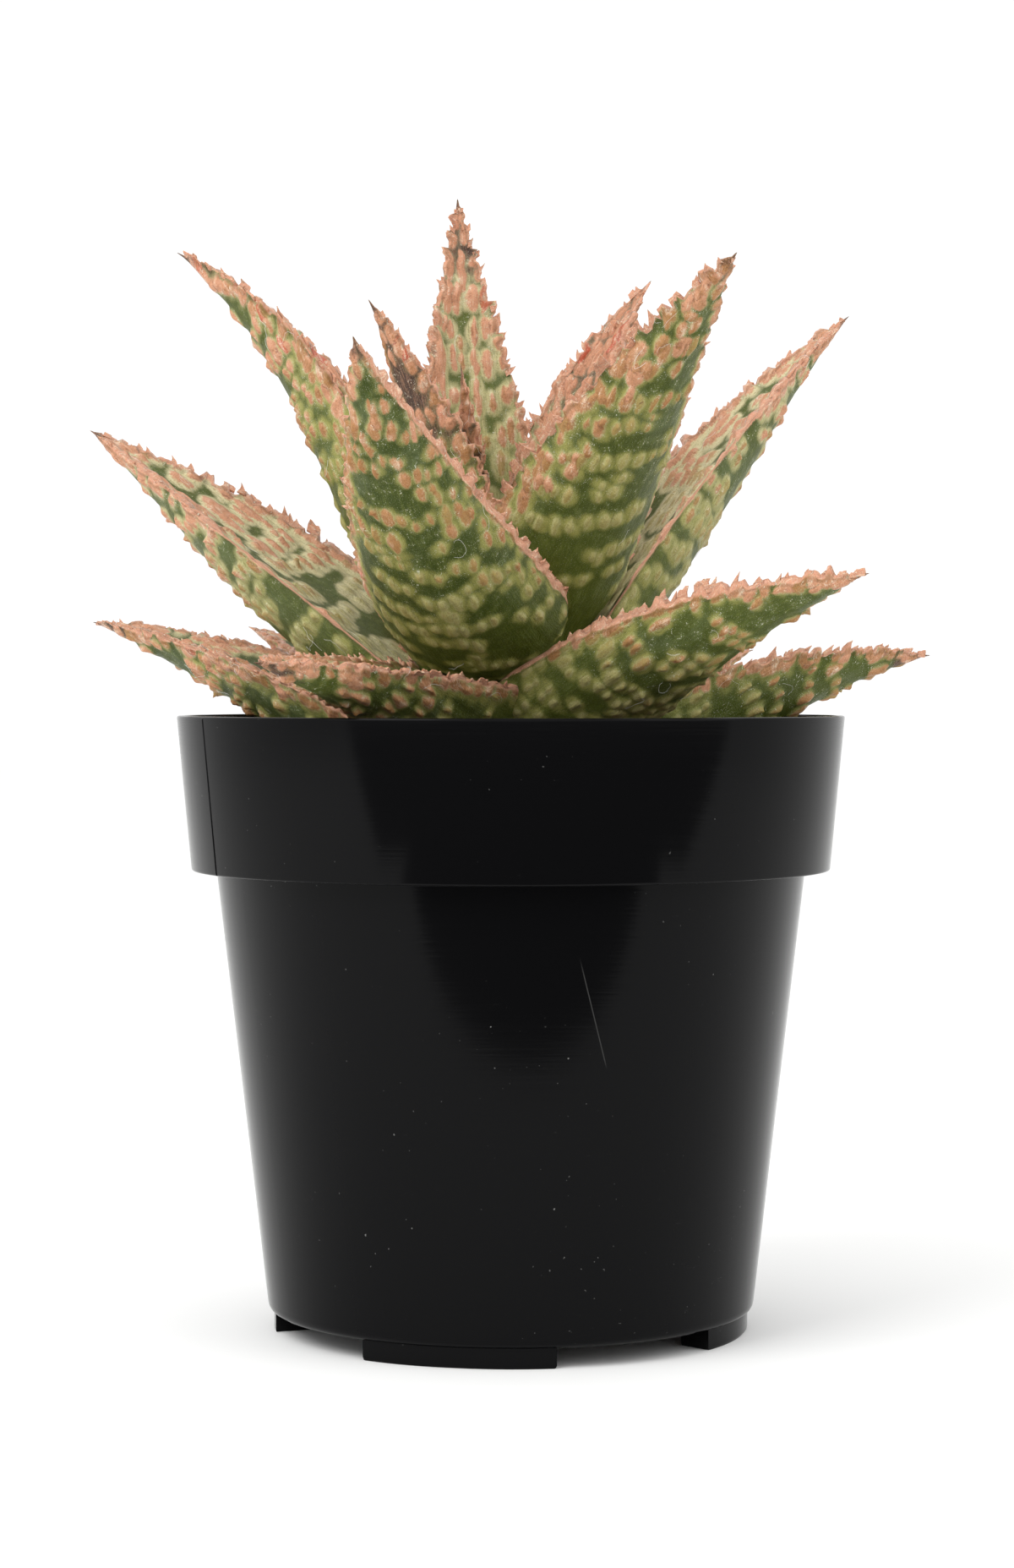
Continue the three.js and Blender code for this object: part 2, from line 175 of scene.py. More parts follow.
# Soil and stem
SOIL_LUMP = 1.1
SOIL_SIDES = 180
SOIL_RINGS = 91
SOIL_CLEARANCE = 0.2
SOIL_LEDGE_RADIUS = 44.8
SOIL_BASE_RADIUS = 36.9
SOIL_SEED = 5
GRAIN_SHARE = 0.3  # pale grains among the chips
GRAIN_SIZE = (0.7, 1.9)
GRAIN_SHAPE = (1, 1, 0.9)
BARK_SIZE = (0.8, 2.8)
BARK_SHAPE = (1.6, 0.8, 0.45)
STEM_DEPTH = 14
STEM_RISE = 28
STEM_RADIUS = 7
STEM_SHOULDER = 6
STEM_TOP_RADIUS = 3.2
STEM_SIDES = 64
STEM_RINGS = 85
SCAR_SPACING = 3.4
SCAR_DEPTH = 0.25

# The photograph's view: a long lens, slightly above the rim
CAMERA_PLACE = (-0.6, -560, 101.2)
CAMERA_PITCH = -1.59
IMAGE_HEIGHT = 1855
FOCAL_PIXELS = 4200
SENSOR = 36
CAMERA_CLIP = (10, 20000)

# Stage
FLOOR_RADIUS = 4000
LIGHT_TARGET = (0, 0, 110)
KEY_PLACE = (-450, -420, 620)
KEY_SIDE = 500
FILL_PLACE = (520, -260, 420)
FILL_SIDE = 450
NEAR_CARD_CENTRE = (45, -245)
NEAR_CARD_RADII = (205, 110)
NEAR_CARD_HEIGHT = 1
FAR_CARD_RADII = (300, 1500)
FAR_CARD_HEIGHT = 1.5


def tone(red, green, blue):
    """A colour given as 0 to 255 on a screen, as the light values that a shader takes."""
    shares = (c / 255 for c in (red, green, blue))
    return tuple(c / 12.92 if c <= 0.04045 else ((c + 0.055) / 1.055) ** 2.4 for c in shares)


def colour(name, description, red, green, blue):
    """A colour property with its default in screen values."""
    return FloatVectorProperty(
        name=name, description=description, subtype="COLOR", min=0, max=1, default=tone(red, green, blue)
    )


def length(name, description, default):
    """A length property, whose default is given in millimetres."""
    return FloatProperty(
        name=name, description=description, default=default * MM, min=0, unit="LENGTH", precision=5
    )


class AloeLeafSettings(bpy.types.PropertyGroup):
    """Sizes and colours of the leaves."""

    mesh_step: length("Mesh step", "Distance between mesh points on a leaf that faces the camera", 0.42)
    unseen_step: length("Mesh step at the back", "Distance between mesh points on the other leaves", 0.7)
    wart_spacing: length("Wart spacing", "Distance between the warts of a row", 1.95)
    wart_height: length("Wart height", "How far a wart stands out of the leaf", 0.6)
    lobe_height: length("Lobe height", "How far the lobes of a margin stand out", 1.25)
    tooth_spacing: length("Tooth spacing", "Distance between teeth along a margin", 2.6)
    tooth_height: length("Tooth height", "Height of a large tooth", 1.55)
    seed: IntProperty(name="Seed", description="Start of the random draws", default=11)
    ground: colour("Ground", "Dark green between the warts", 62, 74, 24)
    ground_light: colour("Light ground", "Lighter patches in the green", 106, 114, 50)
    ground_deep: colour("Deep ground", "Green at the root of a leaf", 74, 84, 14)
    bloom: colour("Bloom", "Greyish wax on the green", 112, 124, 92)
    halo: colour("Halo", "Skin round a wart on the back of a leaf", 152, 150, 82)
    cream: colour("Cream", "Pale skin round a ripe wart", 210, 200, 158)
    wart: colour("Wart", "Unripe wart near the root", 164, 154, 88)
    ripe_low: colour("Wart on the back", "Ripe wart on the back of a leaf", 172, 122, 76)
    ripe: colour("Ripe wart", "Ripe wart towards the tip and on the face", 204, 146, 114)
    red: colour("Red wart", "The ripest warts", 194, 92, 66)
    rind: colour("Rind", "Teeth and margins", 206, 150, 122)
    # Also the painted shade in the creases between warts
    dark_rind_and_crease_shade: colour("Dark rind", "Dark parts of the teeth and margins", 130, 86, 62)
    rind_pale: colour("Pale rind", "Light streaks in the teeth and margins", 228, 204, 176)
    dry: colour("Dry skin", "Dark part of the brown tip", 72, 54, 46)
    withered: colour("Withered skin", "Light part of the brown tip", 132, 100, 80)


class AloePotSettings(bpy.types.PropertyGroup):
    """Sizes and colours of the pot and what fills it."""

    segments: IntProperty(name="Segments", description="Faces round the pot", default=288, min=48)
    seam_width: length("Seam width", "Width of the mould seam on the rim band", 0.35)
    seam_height: length("Seam height", "How far the mould seam stands out", 0.12)
    plastic: colour("Plastic", "Black plastic of the pot", 10, 10, 11)
    dust: colour("Dust", "Dust and rubbed spots on the plastic", 120, 120, 118)
    peat: colour("Peat", "Dark part of the soil", 46, 34, 26)
    bark: colour("Bark", "Brown part of the soil", 104, 74, 50)
    perlite: colour("Perlite", "Pale grains in the soil", 214, 210, 200)
    stem: colour("Stem", "Skin of the stem between the leaves", 150, 150, 96)
    chips: IntProperty(name="Chips", description="Loose bits on top of the soil", default=520, min=0)


class AloeStageSettings(bpy.types.PropertyGroup):
    """Floor, lights and camera."""

    floor: colour("Floor", "The pale floor", 250, 250, 249)
    sky: FloatProperty(name="Sky", description="Strength of the white light all round", default=1.06, min=0)
    key: FloatProperty(name="Key", description="Power of the main light", default=3.4, min=0, unit="POWER")
    fill: FloatProperty(name="Fill", description="Power of the fill light", default=0.8, min=0, unit="POWER")


class Signal:
    """A socket of a shader that takes part in arithmetic: each operation adds a Math node."""

    def __init__(self, graph, socket):
        self.graph = graph
        self.socket = socket

    def math(self, operation, *values, clamp=False):
        settings = {"operation": operation, "use_clamp": clamp}
        return self.graph.node("Math", settings, dict(enumerate(values)))

    def __add__(self, other):
        return self.math("ADD", self, other)

    def __radd__(self, other):
        return self.math("ADD", other, self)

    def __sub__(self, other):
        return self.math("SUBTRACT", self, other)

    def __rsub__(self, other):
        return self.math("SUBTRACT", other, self)

    def __mul__(self, other):
        return self.math("MULTIPLY", self, other)

    def __rmul__(self, other):
        return self.math("MULTIPLY", other, self)

    def clamped(self):
        return self.math("ADD", self, 0.0, clamp=True)


class Graph:
    """The node tree of one material that ends in a Principled shader."""

    def __init__(self, name):
        self.material = bpy.data.materials.new(name)
        self.material.use_nodes = True
        self.tree = self.material.node_tree
        self.shader = self.tree.nodes["Principled BSDF"]

    def node(self, kind, settings=None, inputs=None, output=0):
        """Adds a node: its settings first, then the values or links of its inputs."""
        made = self.tree.nodes.new("ShaderNode" + kind)
        for key, value in (settings or {}).items():
            setattr(made, key, value)
        for key, value in (inputs or {}).items():
            self.feed(made.inputs[key], value)
        return Signal(self, made.outputs[output])

    def feed(self, socket, value):
        if isinstance(value, Signal):
            self.tree.links.new(value.socket, socket)
        elif hasattr(value, "__len__") and len(value) == 3 and socket.type == "RGBA":
            socket.default_value = (*value, 1)
        else:
            socket.default_value = value

    def surface(self, **values):
        """Feeds the shader. Underscores stand for the spaces in a socket's name."""
        for key, value in values.items():
            self.feed(self.shader.inputs[key.replace("_", " ")], value)

    def mix(self, factor, first, second):
        """A colour between two others."""
        return self.node("Mix", {"data_type": "RGBA"}, {0: factor, 6: first, 7: second}, output=2)

    def ramp(self, value, low, high, start=0.0, end=1.0):
        """A smooth step from start to end while value goes from low to high."""
        inputs = {0: value, 1: low, 2: high, 3: start, 4: end}
        return self.node("MapRange", {"interpolation_type": "SMOOTHSTEP"}, inputs)

    def attribute(self, name, output="Fac"):
        return self.node("Attribute", {"attribute_name": name}, output=output)

    def noise(self, place, scale, detail=2.0, rough=0.5):
        inputs = {"Vector": place, "Scale": scale, "Detail": detail, "Roughness": rough}
        return self.node("TexNoise", None, inputs)

    def stretch(self, place, x, y, z):
        """A place scaled by a different factor along each axis."""
        return self.node("VectorMath", {"operation": "MULTIPLY"}, {0: place, 1: (x, y, z)})

    def bump(self, height, distance, strength):
        return self.node("Bump", None, {"Height": height, "Distance": distance, "Strength": strength})


def smooth(x):
    """From 0 to 1 with level ends."""
    x = np.clip(x, 0, 1)
    return x * x * (3 - 2 * x)


def ripple(x, y, seed):
    """A smooth random field from -1 to 1, whose bumps are about one unit across."""
    table = np.random.default_rng(seed).uniform(-1, 1, (64, 64))
    i = np.floor(x).astype(int)
    j = np.floor(y).astype(int)
    u = smooth(x - i)
    v = smooth(y - j)
    near = table[i % 64, j % 64] * (1 - u) + table[(i + 1) % 64, j % 64] * u
    far = table[i % 64, (j + 1) % 64] * (1 - u) + table[(i + 1) % 64, (j + 1) % 64] * u
    return near * (1 - v) + far * v


def circle(radius, turns, centre=(0, 0)):
    """Points of a circle at turns in radians."""
    return np.stack([centre[0] + radius * np.cos(turns), centre[1] + radius * np.sin(turns)], -1)


def all_round(count):
    """Turns in radians, evenly round a circle."""
    return np.linspace(0, 2 * math.pi, count, endpoint=False)


def unit(vectors):
    """The vectors made one long."""
    return vectors / np.maximum(np.linalg.norm(vectors, axis=-1, keepdims=True), 1e-9)


def tube(rings, count, poles=False, flip=False):
    """Faces of a closed tube, whose rings of count points are numbered one after the other. Its ends are
    flat, or fans to two poles that come after the rings. flip turns the faces inside out."""
    faces = []
    last = (rings - 1) * count
    for low in range(0, last, count):
        for i in range(count):
            k = (i + 1) % count
            faces.append((low + i, low + k, low + count + k, low + count + i))
    if poles:
        for i in range(count):
            k = (i + 1) % count
            faces += [(last + count, k, i), (last + i, last + k, last + count + 1)]
    else:
        faces += [tuple(range(count))[::-1], tuple(range(last, last + count))]
    return [face[:1] + face[:0:-1] for face in faces] if flip else faces


def mesh_object(name, points, faces, material=None):
    """A new object in the scene, with its points given in millimetres."""
    mesh = bpy.data.meshes.new(name)
    mesh.from_pydata((np.asarray(points) * MM).tolist(), [], faces)
    if material:
        mesh.materials.append(material)
    made = bpy.data.objects.new(name, mesh)
    bpy.context.scene.collection.objects.link(made)
    return made


class Body:
    """Points, faces and point values that are gathered piece by piece and then made into one mesh."""

    def __init__(self):
        self.points = []
        self.faces = []
        self.smooth = []
        self.values = {}
        self.count = 0

    def add(self, points, faces, flat=False, **values):
        points = np.asarray(points, float).reshape(-1, 3)
        self.points.append(points)
        self.faces += [[self.count + i for i in face] for face in faces]
        self.smooth += [not flat] * len(faces)
        for key, value in values.items():
            value = np.asarray(value, float)
            shape = (len(points), 3) if value.ndim == 2 or value.shape == (3,) else (len(points),)
            self.values.setdefault(key, []).append(np.broadcast_to(value, shape))
        self.count += len(points)

    def make(self, name, material, slot, *nodes):
        """The piece that stands for the named nodes, rides on the root and has the given material. Its slot
        is not used.
        """
        piece = mesh_object(name, np.vstack(self.points), self.faces, material)
        for key, parts in self.values.items():
            data = np.concatenate(parts).astype(np.float32)
            kind, field = ("FLOAT_VECTOR", "vector") if data.ndim == 2 else ("FLOAT", "value")
            piece.data.attributes.new(key, kind, "POINT").data.foreach_set(field, data.ravel())
        piece.data.polygons.foreach_set("use_smooth", self.smooth)
        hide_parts(*nodes)
        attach(piece, "root")
        return piece


# Leaves


def directions(leaf, t):
    """Unit vectors along the midrib at the shares t."""
    pitch = np.radians(leaf.pitch + leaf.bend * t ** leaf.ease)
    turn = np.radians(leaf.turn + leaf.sway * t)
    return np.stack([np.cos(pitch) * np.cos(turn), np.cos(pitch) * np.sin(turn), np.sin(pitch)], -1)


def frames(leaf, t):
    """Points on the midrib at the shares t, with unit vectors along, across and out of the upper face."""
    turn = math.radians(leaf.turn)
    root = [leaf.reach * math.cos(turn), leaf.reach * math.sin(turn), SOIL_TOP + leaf.rise]
    middles = (np.arange(MIDRIB_STEPS) + 0.5) / MIDRIB_STEPS
    steps = directions(leaf, middles) * leaf.length / MIDRIB_STEPS
    walk = np.vstack([[root], root + np.cumsum(steps, axis=0)])
    knots = np.linspace(0, 1, MIDRIB_STEPS + 1)
    point = np.stack([np.interp(t, knots, walk[:, k]) for k in range(3)], -1)
    along = directions(leaf, t)
    turns = np.radians(leaf.turn + leaf.sway * t)
    level = np.stack([-np.sin(turns), np.cos(turns), np.zeros_like(turns)], -1)
    roll = math.radians(leaf.roll)
    across = level * math.cos(roll) + np.cross(along, level) * math.sin(roll)
    return point, along, across, np.cross(along, across)


def half_width(leaf, t):
    """A wedge from the tip that eases into the full width, with a needle at its end."""
    left = (1 - t) * leaf.length
    wedge = leaf.wedge * left / (leaf.width / 2)
    full = leaf.width / 2 * wedge / (1 + wedge**4) ** 0.25
    root = ROOT_NARROWING + (1 - ROOT_NARROWING) * smooth(t / ROOT_STRETCH)
    needle = NEEDLE_HALF_WIDTH + (TIP_HALF_WIDTH - NEEDLE_HALF_WIDTH) * np.clip(left / TIP_TAPER, 0, 1)
    return np.maximum(full * root, needle)


def section(fat, step):
    """Places round a leaf of half width 1: across, out, distance from the face's middle, and which face.
    They run over the upper face from the right margin to the left one and back under the leaf."""
    swing = np.linspace(-math.pi / 2, math.pi / 2, 721)
    u = np.sin(swing)
    upper = np.stack([u, -CHANNEL * (1 - u * u)], 1)
    back = np.stack([u[::-1], -fat * (1 - u[::-1] ** 2) ** BACK_POWER], 1)
    parts = []
    for line, face, ends in ((upper, 1, slice(0, None)), (back, 0, slice(1, -1))):
        walked = np.concatenate([[0], np.cumsum(np.linalg.norm(np.diff(line, axis=0), axis=1))])
        places = np.linspace(0, walked[-1], max(6, round(walked[-1] / step)) + 1)
        across = np.interp(places, walked, line[:, 0])
        out = np.interp(places, walked, line[:, 1])
        middle = places - walked[-1] / 2
        signed = middle if face else -middle
        margin = walked[-1] / 2 - np.abs(middle)
        parts.append(np.stack([across, out, signed, margin, np.full_like(across, face)], 1)[ends])
    return np.vstack(parts).T


def wart_rows(leaf, settings, face, reach, draw):
    """Warts in broken rows across one face. Each has its place along and across, half length, half width,
    height, ripeness and height of its prickle."""
    warts = []
    full = leaf.length
    s = 0.09 * full + draw.uniform(-1, 1)
    row = 0
    while s < full - 1:
        t = s / full
        half = float(half_width(leaf, t)) * reach
        wave = draw.integers(1 << 30)
        b = -half + draw.uniform(0.3, 1.3)
        while b < half - 0.3:
            edge = abs(b) / half
            grown = 0.74 + 0.26 * smooth((t - 0.1) / 0.3)
            swing, doubling, gap = (
                float(ripple(np.float64(b / size), np.float64(row), wave + i))
                for i, size in enumerate((6, 6, 3.5))
            )
            place = s + leaf.slant * b + leaf.wander * swing + draw.normal(0, 0.4)
            ripeness = leaf.pink + draw.normal(0, 0.15) - 0.2
            ripeness += 1.2 * smooth((t - 0.15) / 0.6) + 0.5 * edge**3
            grown *= (1 + 0.3 * smooth((ripeness - 0.6) / 0.6)) * math.exp(draw.normal(0, 0.2))
            long = grown * draw.uniform(*WART_HALF_LENGTH[face])
            wide = grown * draw.uniform(*WART_HALF_WIDTH[face])
            height = settings.wart_height / MM * draw.uniform(0.6, 1.4)
            height *= 0.4 + 0.6 * smooth((t - 0.1) / 0.5)
            pointed = draw.random() < (0.1 + 0.4 * edge**4) * smooth((t - 0.25) / 0.3)
            prickle = draw.uniform(*PRICKLE_HEIGHT) if pointed else 0
            if gap > -0.35:
                warts.append((place, b, long, wide, height, ripeness, prickle))
            if doubling > 0.1 - leaf.dense:
                behind = place + long * 1.75 + draw.uniform(0.4, 1.0)
                beside = b + draw.normal(0, 0.4)
                warts.append((behind, beside, long * 0.75, wide * 0.9, height * 0.8, ripeness, 0))
            b += settings.wart_spacing / MM * draw.uniform(0.75, 1.4)
        s += leaf.rows * draw.uniform(0.86, 1.14) * (1 - 0.2 * t)
        row += 1
    return warts


def wart_patches(leaf, settings, reach, draw):
    """Ripe warts in the patches along both margins of a face, with the same values as those in rows."""
    warts = []
    full = leaf.length
    for side, depth, bare in zip((-1, 1), leaf.patch, leaf.bare):
        s = max(0.2, bare) * full
        while s < full - 1:
            half = float(half_width(leaf, s / full)) * reach
            inward = draw.uniform(0, 1) * min(half, depth * smooth((s / full - 0.15) / 0.3))
            warts.append((
                s, side * (half - inward), draw.uniform(0.8, 1.7), draw.uniform(0.5, 1.1),
                settings.wart_height / MM * draw.uniform(0.5, 1.2), 1.0 + draw.normal(0, 0.2), 0,
            ))
            s += draw.uniform(1.0, 3.0) * 2 / (1 + depth / 2)
    return warts


def wart_fields(warts, s, b, seed):
    """Five values at the places s along and b across a face: distance to the nearest wart's edge, how much
    farther the next wart is, distance to the nearest pale ring, which reaches sideways to its neighbour,
    ripeness of the nearest wart, and height."""
    bent_s = s + 0.35 * ripple(s / 1.7, b / 1.7, seed) + 0.15 * ripple(s / 0.8, b / 0.8, seed + 1)
    bent_b = b + 0.3 * ripple(s / 1.7, b / 1.7, seed + 2) + 0.12 * ripple(s / 0.8, b / 0.8, seed + 3)
    first = np.full_like(b, FAR)
    second = first.copy()
    ring = first.copy()
    ripe = first * 0 + 0.5
    height = first * 0
    for place, across, long, wide, rise, ripeness, prickle in warts:
        rows = np.abs(s[:, 0] - place) < long + 4
        ds = bent_s[rows] - place + 1e-6
        db = bent_b[rows] - across
        rho = np.hypot(ds / long, db / wide)
        away = (rho - 1) * np.hypot(ds, db) / rho
        second[rows] = np.minimum(second[rows], np.maximum(first[rows], away))
        ripe[rows] = np.where(away < first[rows], ripeness, ripe[rows])
        first[rows] = np.minimum(first[rows], away)
        ring[rows] = np.minimum(ring[rows], (np.hypot(ds / long, db / (wide + RING_SPREAD)) - 1) * long)
        lean = ((ds - 0.35 * long) / long) ** 2 + (db / wide) ** 2
        dome = 0.6 * np.exp(-1.2 * rho**2.4) + 0.55 * np.exp(-2.4 * lean)
        point = np.exp(-(((ds - 0.7 * long) / 0.5) ** 2) - (db / 0.38) ** 2)
        height[rows] = np.maximum(height[rows], rise * dome + prickle * point)
    return first, second - first, ring, ripe, height + 0.2 * smooth((1.0 - first) / 1.2)


def tooth_direction(leaf, side, across, out):
    """Teeth point outwards in the leaf's plane and curl up over its face."""
    curl = math.radians(leaf.curl)
    return side * across * math.cos(curl) + out * math.sin(curl)


def lobes(leaf, settings, bare, size, s, draw):
    """How far the lobes of one margin stand out at the places s along the leaf."""
    full = leaf.length
    stand = np.zeros_like(s)
    place = full * bare
    while place < full - 1.5:
        t = place / full
        growth = size * smooth((t - bare) / 0.12 + 0.3) * (1 - 0.2 * smooth((t - 0.6) / 0.4))
        width = draw.uniform(*LOBE_WIDTH) * (1 - 0.35 * t)
        x = (s - place) / width
        top = 0.75 + 0.25 * x + 0.3 * ripple(s / 0.7, s * 0 + place, 5)
        flank = smooth(x / 0.25) * smooth((1 - x) / 0.12)
        stand = np.maximum(stand, settings.lobe_height / MM * growth * draw.uniform(0.2, 1.1) * top * flank)
        place += width + draw.uniform(0, 1.6)
    return stand * smooth((full - s) / LOBE_TAPER)


def outward(grid):
    """Unit vectors that point out of a closed skin at each point of its rings."""
    normal = unit(np.cross(np.gradient(grid, axis=0), np.roll(grid, -1, axis=1) - np.roll(grid, 1, axis=1)))
    middle = len(grid) // 2
    inside_out = np.sum(normal[middle] * (grid[middle] - grid[middle].mean(0))) < 0
    return -normal if inside_out else normal


def leaf_skin(body, leaf, number, settings):
    """The leaf's closed skin with its warts raised and its margins lobed, and the values that colour it."""
    step = (settings.unseen_step if leaf.unseen else settings.mesh_step) / MM
    draw = np.random.default_rng((settings.seed, number))
    across, out, signed, margin, face = section(leaf.fat, step / (leaf.width / 2))
    t = np.linspace(0, 1, round(leaf.length / step) + 1)
    point, along_v, across_v, out_v = frames(leaf, t)
    half = half_width(leaf, t)
    grid = point[:, None] + half[:, None, None] * (
        across[None, :, None] * across_v[:, None] + out[None, :, None] * out_v[:, None]
    )
    s = np.repeat((t * leaf.length)[:, None], len(across), axis=1)
    b = half[:, None] * signed[None]
    edge = half[:, None] * margin[None]
    fields = np.zeros((5, *s.shape))
    for side in (0, 1):
        columns = face == side
        reach = np.abs(signed[columns]).max()
        warts = wart_rows(leaf, settings, side, reach, draw) + wart_patches(leaf, settings, reach, draw)
        seed = 50 * number + 10 * side
        fields[:, :, columns] = wart_fields(warts, s[:, columns], b[:, columns], seed)
    wart, crease, ring, ripe, height = fields

    seed = 1000 + 7 * number
    waves = 0.22 * ripple(s / 9, b / 5, seed) + 0.1 * ripple(s / 7, b / 1.3, seed + 1)
    waves += 0.05 * ripple(s / 1.1, b / 0.8, seed + 2)
    fade = smooth(t / 0.1)[:, None] * smooth(half / 2.5)[:, None]
    lift = (height * smooth((edge + 0.4) / 1.0) + waves * smooth(edge / 1.2)) * fade
    normal = outward(grid)
    grid = grid + normal * lift[..., None]
    rind = np.zeros_like(s)
    stands = []
    for side, bare, size, width in zip((-1, 1), leaf.bare, leaf.teeth, leaf.rind):
        here = (np.sign(signed) == side)[None]
        wave = width * (1 + 0.3 * ripple(s / 2.8, s * 0, seed + 3 + side))
        band = wave * smooth((t + 0.05) / 0.25)[:, None] * (0.4 + 0.6 * smooth(half / 5))[:, None]
        rind = np.where(here, edge - band, rind)
        stand = lobes(leaf, settings, bare, size, t * leaf.length, draw)
        stands.append(stand)
        push = here * stand[:, None] * np.exp(-((edge / 0.62) ** 2))
        aim = tooth_direction(leaf, side, across_v, out_v) + 0.3 * along_v
        grid = grid + push[..., None] * aim[:, None]

    ends = np.stack([grid[0].mean(0), grid[-1].mean(0) + along_v[-1] * 0.3])
    points = np.vstack([grid.reshape(-1, 3), ends])

    def spread(values, at_root, at_tip):
        return np.concatenate([np.broadcast_to(values, s.shape).ravel(), [at_root, at_tip]])

    full = leaf.length
    plain_root = 2 * (1 - smooth(t / 0.08))[:, None]
    apart = np.full(len(points), float(LEAF_DISTANCE * number))
    body.add(
        points, tube(*s.shape, poles=True, flip=True),
        wart=spread(wart + plain_root, FAR, 0), crease=spread(crease, 1, 1),
        ring=spread(ring + plain_root, FAR, 0), ripe=spread(ripe, 0, 1), rind=spread(rind, FAR, -1),
        upper=spread(face[None], 0, 0), along=spread(t[:, None], 0, 1), pale=leaf.pale,
        light=leaf.light, place=np.stack([spread(s, 0, full), spread(b, 0, 0), apart], 1),
        tip=spread(full - s, full, 0), brown=spread((full - s) / leaf.brown, 9, 0), lint=0,
    )
    lint(body, grid, normal, draw, UNSEEN_LINT_COUNT if leaf.unseen else LINT_COUNT, number)
    return stands


def lint(body, grid, normal, draw, count, number):
    """Fine white fibres that lie in loose bends on the leaf."""
    rings, columns = grid.shape[:2]
    for _ in range(count):
        steps = draw.integers(7, 18)
        heading = draw.uniform(0, 2 * math.pi) + np.cumsum(draw.normal(draw.normal(0, 0.2), 0.35, steps))
        i = np.clip(draw.uniform(0.2, 0.85) * rings + np.cumsum(np.cos(heading)), 1, rings - 3)
        j = draw.uniform(0, columns) + np.cumsum(np.sin(heading))
        low_i, low_j = np.floor(i).astype(int), np.floor(j).astype(int)
        u, v = (i - low_i)[:, None], (j - low_j)[:, None]
        left, right = low_j % columns, (low_j + 1) % columns
        line, out = (
            (field[low_i, left] * (1 - u) + field[low_i + 1, left] * u) * (1 - v)
            + (field[low_i, right] * (1 - u) + field[low_i + 1, right] * u) * v
            for field in (grid, normal)
        )
        line = line + out * (0.15 + 0.3 * np.sin(np.linspace(0, math.pi, steps)) ** 2)[:, None]
        aside = unit(np.cross(np.gradient(line, axis=0), out))
        radius = LINT_RADIUS * draw.uniform(0.7, 1.3)
        corners = [line + radius * (aside * a + out * b) for a, b in ((1, 0), (0, 1), (-1, 0), (0, -1))]
        body.add(
            np.stack(corners, 1), tube(steps, 4), wart=FAR, crease=1, ring=FAR, ripe=0, rind=FAR, upper=1,
            along=0.5, pale=0, light=0, place=(0, 0, float(LEAF_DISTANCE * number)), tip=30, brown=9, lint=1,
        )


# Outlines of the two kinds of tooth, as shares of width and height
SPIKE = ((-0.5, -0.5), (-0.4, 0.12), (-0.16, 0.55), (0.12, 1), (0.2, 0.6), (0.34, 0.2), (0.5, -0.5))
BLOCK = (
    (-0.5, -0.5), (-0.46, 0.5), (-0.34, 0.8), (-0.1, 0.7), (0.1, 0.95), (0.38, 1), (0.44, 0.4), (0.5, -0.5),
)


def plate(outline, origin, x_axis, y_axis, z_axis, thick_root, thick_edge):
    """A thin closed plate over an outline of (x, y) points, thinner towards its outer edge."""
    outline = np.asarray(outline)
    count = len(outline)
    tall = max(outline[:, 1].max(), 1e-6)
    thick = thick_root + (thick_edge - thick_root) * np.clip(outline[:, 1] / tall, 0, 1)
    centre = outline.mean(0)
    middle = (thick_root + thick_edge) / 4

    def place(flat, z):
        flat = np.atleast_2d(flat)
        z = np.broadcast_to(z, len(flat))
        return origin + flat[:, :1] * x_axis + flat[:, 1:] * y_axis + z[:, None] * z_axis

    points = np.vstack([
        place(outline, thick / 2), place(outline, -thick / 2), place(centre, middle), place(centre, -middle),
    ])
    faces = []
    for i in range(count):
        k = (i + 1) % count
        faces += [(k, i, 2 * count), (count + i, count + k, 2 * count + 1), (i, k, count + k, count + i)]
    return points, faces


